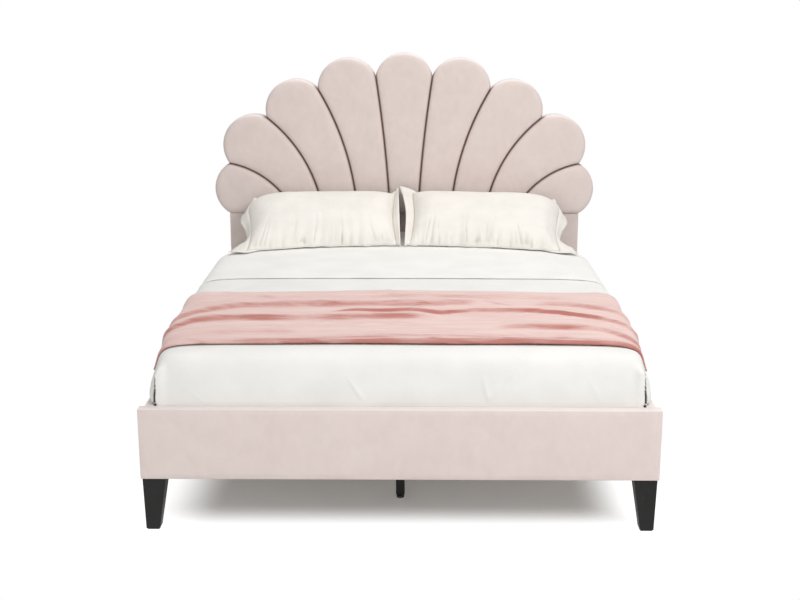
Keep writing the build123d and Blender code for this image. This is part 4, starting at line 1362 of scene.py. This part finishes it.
def buildThrow():
    bm = gridMesh(throw["columns"], throw["rows"])
    paintedShadeLayer = bm.verts.layers.float.new("paintedFoldShade")
    hem = shareAtHeight(throwLow.z + throw["hemLift"])
    sideLength = lineLengths["side"][-1]
    rise = throw["thickness"] + throw["clearance"]
    acrossStops = ((0, 0), (throw["flatColumns"], halfFlat), (1, halfFlat + hem))
    for vert in bm.verts:
        across, sideShare = acrossBed(vert.co.x, acrossStops)[1:]
        span = copysign(abs(across) + sideShare * sideLength, across)
        back = curve(abs(span), throw["backEdge"])
        back += wandering((span, 0, 0), throw["backWander"], 6.0)
        front = throwLow.y + throw["frontWander"][0]
        front += wandering((span, 0, 0), throw["frontWander"], 1.0)
        part = (vert.co.y + 1) / 2
        y = front + (back - front) * part
        fromFront, fromBack = y - front, back - y
        place = overBedPlace(across, y, sideShare, 0)
        height, dark = foldAt(span, y)
        height *= window(fromBack, throw["foldsFromBack"])
        height *= window(fromFront, throw["foldsFromFront"])
        fine, crinkle, busy = crinkled(place.x, y)
        height += throw["ripple"] * (throw["rippleLevel"] + fine)
        height += throw["crinkle"] * crinkle * busy
        # Painted shade in the crinkles.
        dark += throw["crinklePaintedShade"] * crinkle * busy
        atBack = window(sideShare, throw["backLiftSide"])
        height += throw["backLift"] * atBack * (1 - window(fromBack, throw["backLiftRun"]))
        rolled = min(1.0, fromFront / throw["rollDepth"])
        roll = throw["rollHeight"] * sqrt(1 - (1 - rolled) ** 2)
        behind = smoothStep(throw["rollDepth"], throw["rollRun"], fromFront)
        height += roll * (1 - throw["rollFade"] * behind)
        calm = 1 - throw["sideCalm"] * smoothStep(throw["sideCalmFrom"], hem, sideShare)
        vert.co = offBed(place, across, sideShare, rise + height * calm)
        # Painted shade along the front hem and on the hanging sides.
        dark += sum(frontShade(span, fromFront, fine))
        dark += throw["sidePaintedShade"] * smoothStep(throw["sidePaintedShadeFrom"], hem, sideShare)
        vert[paintedShadeLayer] = dark
    piece = shown("throw_plush", bm, "throw", finishes["plush"], ["throw_blanket"])
    walled(piece, throw["thickness"])
    flat = (2 * (halfFlat + hem * sideLength), throwHigh.y - throwLow.y)


buildThrow()
print("throw laid")


# Pillows: two layers of cloth blown up by cloth pressure, with a flat flange round the seam
pillow = {
    "width": 0.762,
    "depth": 0.508,
    "flange": 0.044,
    "columns": 84,
    "rows": 54,
    "flatRise": 0.010,
    "flatRipple": (0.0015, 0.05),
    "frames": 18,
    "cloth": {"quality": 5, "mass": 0.25, "air_damping": 2.0, "tension_stiffness": 30,
              "compression_stiffness": 30, "shear_stiffness": 12, "bending_stiffness": 0.15,
              "use_pressure": True, "uniform_pressure_force": 3.0},
    "simShare": 0.35,
    "crown": 0.074,
    "under": 0.050,
    # Powers of the fullness: outer and inner half, head and foot half, and of its fall at the seam.
    "fullAcross": (5.5, 9.0),
    "fullAlong": (6.0, 2.6),
    "fullEdges": (0.62, 0.70),
    "flangeThickness": 0.0028,
    "flangeRows": 5,
    "flangeWave": (0.0070, 0.055),
    "headLimit": 0.984,
    "restSoft": 0.006,
    # Creases rise from the foot seam, each to its own share of the pillow's length.
    "pucker": 0.0055,
    "puckerSize": 0.030,
    "puckerStretch": 0.07,
    "puckerSharp": 4.5,
    "puckerBetween": 0.4,
    "puckerTall": 0.42,
    "puckerTallVaries": (0.5, 0.07),
    "puckerLean": (0.05, 0.2),
    "puckerSome": (-0.10, 0.22),
    "puckerSomeSize": 0.11,
    "puckerSomeMore": 0.12,
    # Short gathers stand beside the seam.
    "gather": 0.0050,
    "gatherSize": 0.018,
    "gatherStretch": 0.02,
    "gatherRun": (0.02, 0.16),
    # Painted shade in the gathers' hollows, and how far from the seam it reaches.
    "gatherPaintedShade": 1.6,
    "gatherPaintedShadeRun": (0.02, 0.13),
    "lumps": (0.0022, 0.13),
    "footWander": (0.009, 0.06),
    # How far from the bed's middle each line lies, by its share of the way from foot to head.
    "innerEdge": {"pillow_left": ((0, 0.012), (0.5, 0.019), (1, 0.026)),
                  "pillow_right": ((0, 0.004), (0.5, 0.010), (0.8, -0.004), (1, -0.020))},
    "innerSeam": ((0, 0.024), (0.5, 0.049), (1, 0.037)),
    "outerSeam": ((0, 0.672), (0.3, 0.666), (0.6, 0.686), (0.8, 0.704), (1, 0.688)),
    "outerEdge": ((0, 0.745), (0.12, 0.735), (0.36, 0.690), (0.52, 0.702), (0.68, 0.736),
                  (0.80, 0.738), (0.92, 0.722), (1, 0.702)),
    # The seams' places in Y and heights over the sheet, from the inner to the outer corner.
    "footPlace": ((0, 0.602), (0.35, 0.582), (0.6, 0.558), (0.82, 0.518), (1, 0.490)),
    "footLift": ((0, 0.010), (0.6, 0.008), (1, 0.004)),
    "headPlace": ((0, 0.945), (0.6, 0.945), (0.85, 0.940), (1, 0.925)),
    "headLift": {"pillow_left": ((0, 0.174), (0.12, 0.168), (0.45, 0.163), (0.75, 0.161),
                                 (0.9, 0.156), (1, 0.140)),
                 "pillow_right": ((0, 0.180), (0.15, 0.170), (0.5, 0.160), (0.78, 0.158),
                                  (0.9, 0.153), (1, 0.136))},
    # How far the outer flange hangs below the seams' slope, from foot to head.
    "outerDroop": ((0, 0.0), (0.2, -0.012), (0.42, -0.034), (0.72, -0.036), (1, -0.050)),
    "innerBend": 0.026,
    # The foot flange is tucked under, and spreads out flat towards the pillow's corners.
    "tuckGap": 0.003,
    "tuckIn": 0.5,
    "tuckLength": 0.018,
    "spreadOut": 0.8,
    "spreadRun": (0.62, 0.92),
    "spreadInner": 0.6,
    # The head flange folds back against the petals, and stands up towards the corners.
    "foldBack": (0.50, 0.05),
    "standUp": (0.25, 0.80),
    "standRun": (0.78, 1),
}
seamAcross = 1 - 2 * pillow["flange"] / pillow["width"]
seamAlong = pillow["flange"] / pillow["depth"]
pillowRest = topSheetHigh.z + 0.0006


def flatCloths(number):
    # The upper and under cloth, sewn together round the seam, with each vertex's place on the case.
    width = pillow["width"] - 2 * pillow["flange"]
    depth = pillow["depth"] - 2 * pillow["flange"]
    bm = bmesh.new()
    for side in (1, -1):
        made = bmesh.ops.create_grid(bm, x_segments=pillow["columns"], y_segments=pillow["rows"],
                                     size=0.5)["verts"]
        bmesh.ops.scale(bm, vec=(width, depth, 1), verts=made)
        for vert in made:
            u, v = abs(vert.co.x) * 2 / width, abs(vert.co.y) * 2 / depth
            ripple = wandering(vert.co, pillow["flatRipple"], number * 9 + side)
            vert.co.z = side * (pillow["flatRise"] + ripple) * (1 - u ** 4) * (1 - v ** 4)
        if side < 0:
            bmesh.ops.reverse_faces(bm, faces=[f for f in bm.faces if f.verts[0] in set(made)])
    bmesh.ops.remove_doubles(bm, verts=bm.verts, dist=0.00002)
    places = [(v.co.x / (pillow["width"] / 2), v.co.y / pillow["depth"] + 0.5) for v in bm.verts]
    return bm, places


def blowUp(piece):
    cloth = piece.modifiers.new("cloth", "CLOTH")
    for key, setting in pillow["cloth"].items():
        setattr(cloth.settings, key, setting)
    cloth.settings.effector_weights.gravity = 0
    cloth.collision_settings.use_collision = False
    cloth.point_cache.frame_start = 1
    cloth.point_cache.frame_end = pillow["frames"]
    for number in range(1, pillow["frames"] + 1):
        scene.frame_set(number)
    applied(piece)
    scene.frame_set(1)


def blownHeights(bm):
    # How high the pressure lifts each vertex, as a share of the highest.
    mesh = bpy.data.meshes.new("blown")
    bm.to_mesh(mesh)
    holder = bpy.data.objects.new("blown", mesh)
    scene.collection.objects.link(holder)
    blowUp(holder)
    heights = [v.co.z for v in holder.data.vertices]
    bpy.data.objects.remove(holder)
    top = max(heights)
    return [height / top for height in heights]


def pillowPlace(name, across, along, swell):
    # across runs from -1 at the inner edge to 1 at the outer one, along from 0 at the foot to 1.
    stops = [(-1, curve(along, pillow["innerEdge"][name])),
             (-seamAcross, curve(along, pillow["innerSeam"])),
             (seamAcross, curve(along, pillow["outerSeam"])),
             (1, curve(along, pillow["outerEdge"]))]
    x = steps(across, stops)
    t = (across / seamAcross + 1) / 2
    foot = Vector((curve(t, pillow["footPlace"]), pillowRest + curve(t, pillow["footLift"])))
    foot.x += wandering((t, 0, 0), pillow["footWander"], 3.0 * len(name))
    head = Vector((curve(t, pillow["headPlace"]), pillowRest + curve(t, pillow["headLift"][name])))
    share = (along - seamAlong) / (1 - 2 * seamAlong)
    slope = head - foot
    way = slope.normalized()
    place = foot + slope * min(1, max(0, share))
    beyond = max(-share, share - 1, 0) * slope.length
    outer, inner = smoothStep(seamAcross, 1, across), smoothStep(seamAcross, 1, -across)
    if share < 0:
        drop = foot.y - pillowRest - pillow["tuckGap"]
        tucked = Vector((pillow["tuckIn"] * beyond, -min(1, beyond / pillow["tuckLength"]) * drop))
        flat = Vector((-pillow["spreadOut"] * beyond, -beyond / pillow["flange"] * drop))
        spread = window(across, pillow["spreadRun"]) + pillow["spreadInner"] * inner
        place += tucked.lerp(flat, spread)
    if share > 1:
        nearEnds = window(abs(across), pillow["standRun"])
        place += Vector(pillow["foldBack"]).lerp(Vector(pillow["standUp"]), nearEnds) * beyond
    place.y += outer * curve(along, pillow["outerDroop"])
    up = Vector((-way.y, way.x))
    place += up * (swell + inner * pillow["innerBend"] * (1 - abs(2 * along - 1) ** 4))
    return x, place


def bodySwell(across, along, above, blown, number):
    # How far a place on the body stands off the seams' slope, and how deep it lies in a crease,
    # which sets its painted crease shade.
    u, v = min(1, abs(across) / seamAcross), min(1, abs(2 * along - 1) / (1 - 2 * seamAlong))
    # The filling is fuller towards the head and the inner edge.
    acrossPower = pillow["fullAcross"][0 if across > 0 else 1]
    alongPower = pillow["fullAlong"][0 if along > 0.5 else 1]
    acrossEdge, alongEdge = pillow["fullEdges"]
    byHand = max(0, 1 - u ** acrossPower) ** acrossEdge * max(0, 1 - v ** alongPower) ** alongEdge
    full = byHand * (1 - pillow["simShare"]) + blown * pillow["simShare"]
    swell = (pillow["crown"] if above else -pillow["under"]) * full
    crease = 0.0
    if above:
        low = (along - seamAlong) / (1 - 2 * seamAlong)
        x = across * 0.36
        inside = 1 - u ** 8
        here = Vector((x, 0, 0))
        tall = pillow["puckerTall"] + wandering(here, pillow["puckerTallVaries"], number * 5.3)
        some = bumpy(here, pillow["puckerSomeSize"], number * 2.9)
        some = window(some + pillow["puckerSomeMore"] * (1 - u), pillow["puckerSome"])
        leans, size = pillow["puckerLean"]
        lean = x + low * leans * bumpy(here, size, number * 2.3)
        line = bumpy((lean, low * pillow["puckerStretch"], 0), pillow["puckerSize"], number * 3.7)
        crest = max(0, 1 - pillow["puckerSharp"] * abs(line))
        rise = window(low, (0.0, 0.04), (tall * 0.3, tall))
        crease = crest * rise * some * inside
        swell += pillow["pucker"] * (pillow["puckerBetween"] * rise * some * inside - crease)
        gather = bumpy((x, low * pillow["gatherStretch"], 0), pillow["gatherSize"], number * 6.1)
        swell += pillow["gather"] * gather * (1 - window(low, pillow["gatherRun"])) * inside
        # Painted shade in the hollows of the gathers near the seam.
        nearSeam = 1 - window(low, pillow["gatherPaintedShadeRun"])
        crease += max(0, -pillow["gatherPaintedShade"] * gather) * nearSeam
        swell += wandering((x, along * 0.4, 0), pillow["lumps"], number * 2.0) * full
    return swell, crease


def seamRing(bm):
    # Seam vertices in order: the line where the upper and the under cloth meet.
    ring = [e for e in bm.edges if len({f.normal.z > 0 for f in e.link_faces}) == 2]
    nextTo = {}
    for edge in ring:
        a, b = edge.verts
        nextTo.setdefault(a, []).append(b)
        nextTo.setdefault(b, []).append(a)
    start = ring[0].verts[0]
    order, last, here = [start], None, start
    while True:
        ahead = [v for v in nextTo[here] if v is not last]
        last, here = here, ahead[0]
        if here is start:
            return [vert.index for vert in order]
        order.append(here)


def buildFlange(name, ring, side, number):
    # A thin frill outside the seam, with its own closed wall.
    frill = bmesh.new()
    low = pillowRest + pillow["flangeThickness"] * 0.6
    rows = []
    for step in range(pillow["flangeRows"] + 1):
        share = step / pillow["flangeRows"]
        row = []
        for across, along in ring:
            p = across * (1 + share * (1 / seamAcross - 1))
            q = 0.5 + (along - 0.5) * (1 + share * (0.5 / (0.5 - seamAlong) - 1))
            wave = wandering((p * 0.38, q * 0.5, 0), pillow["flangeWave"], number * 5)
            x, place = pillowPlace(name, p, q, wave * share)
            y, z = min(place.x, pillow["headLimit"]), max(low, place.y)
            row.append(frill.verts.new((side * x, y, z)))
        rows.append(row)
    for index in range(len(ring)):
        after = (index + 1) % len(ring)
        for inner, outer in zip(rows, rows[1:]):
            frill.faces.new((inner[index], inner[after], outer[after], outer[index]))
    bmesh.ops.recalc_face_normals(frill, faces=frill.faces)
    mesh = bpy.data.meshes.new("frill")
    frill.to_mesh(mesh)
    frill.free()
    holder = bpy.data.objects.new("frill", mesh)
    scene.collection.objects.link(holder)
    walled(holder, pillow["flangeThickness"], offset=0)
    return holder


def flattened(height):
    # Presses the underside softly flat where it lies on the sheet.
    low = pillowRest + 0.0004
    above = height - low - pillow["restSoft"]
    return height if above > 0 else low + pillow["restSoft"] * exp(above / pillow["restSoft"])


def buildPillow(name, number, side):
    bm, places = flatCloths(number)
    blown = blownHeights(bm)
    layers = [bm.verts.layers.float.new(key) for key in ("across", "along", "lift", "paintedCreaseShade")]
    for vert, (p, q), height in zip(bm.verts, places, blown):
        vert[layers[0]], vert[layers[1]], vert[layers[2]] = side * p, q, height
    bmesh.ops.subdivide_edges(bm, edges=bm.edges, cuts=1, use_grid_fill=True)
    bm.normal_update()
    bm.verts.index_update()
    bm.faces.index_update()
    bm.verts.ensure_lookup_table()
    across, along, lift, crease = layers
    ring = [(bm.verts[index][across], bm.verts[index][along]) for index in seamRing(bm)]
    for vert in bm.verts:
        p, q = vert[across], vert[along]
        swell, vert[crease] = bodySwell(p, q, vert[lift] >= 0, abs(vert[lift]), number)
        x, place = pillowPlace(name, p, q, swell)
        vert.co = (side * x, min(place.x, pillow["headLimit"]), flattened(place.y))
    frill = buildFlange(name, ring, side, number)
    bm.from_mesh(frill.data)
    bpy.data.objects.remove(frill)
    bmesh.ops.recalc_face_normals(bm, faces=bm.faces)
    piece = shown(name + "_pillow", bm, name, finishes["pillowCotton"],
                  [name + "_case", name + "_filling"])


buildPillow("pillow_left", 1, -1)
buildPillow("pillow_right", 2, 1)
print("pillows filled")


# Finishes of the pieces that keep their own shape
nodeFinishes = {
    "pineAlongX": ["footboard_core", "headboard_crossbars", "headboard_rim"],
    "pineAlongY": ["side_rail_left_core", "side_rail_right_core", "slat_ledger_left",
                   "slat_ledger_right", "centre_beam"],
    "pineAlongZ": ["headboard_post_left", "headboard_post_right", "corner_blocks"],
    "slatWood": ["slats"],
    "ply": ["headboard_board"],
    "petalPly": ["petal_boards"],
    "blackWood": ["leg_front_left", "leg_front_right", "leg_rear_left", "leg_rear_right",
                  "centre_leg_front", "centre_leg_middle", "centre_leg_rear"],
    "nylon": ["leg_glides", "levelling_foot_front", "levelling_foot_middle", "levelling_foot_rear"],
    "steel": ["beam_hangers", "bracket_bolts", "bracket_screws", "bracket_washers",
              "corner_brackets", "ledger_screws", "leg_studs", "petal_screws"],
    "webbing": ["slat_straps"],
}
for finishName, names in nodeFinishes.items():
    for name in names:
        slots = nodes[name].data.materials
        slots.clear()
        slots.append(finishes[finishName].material)
print("timber, steel and legs finished")
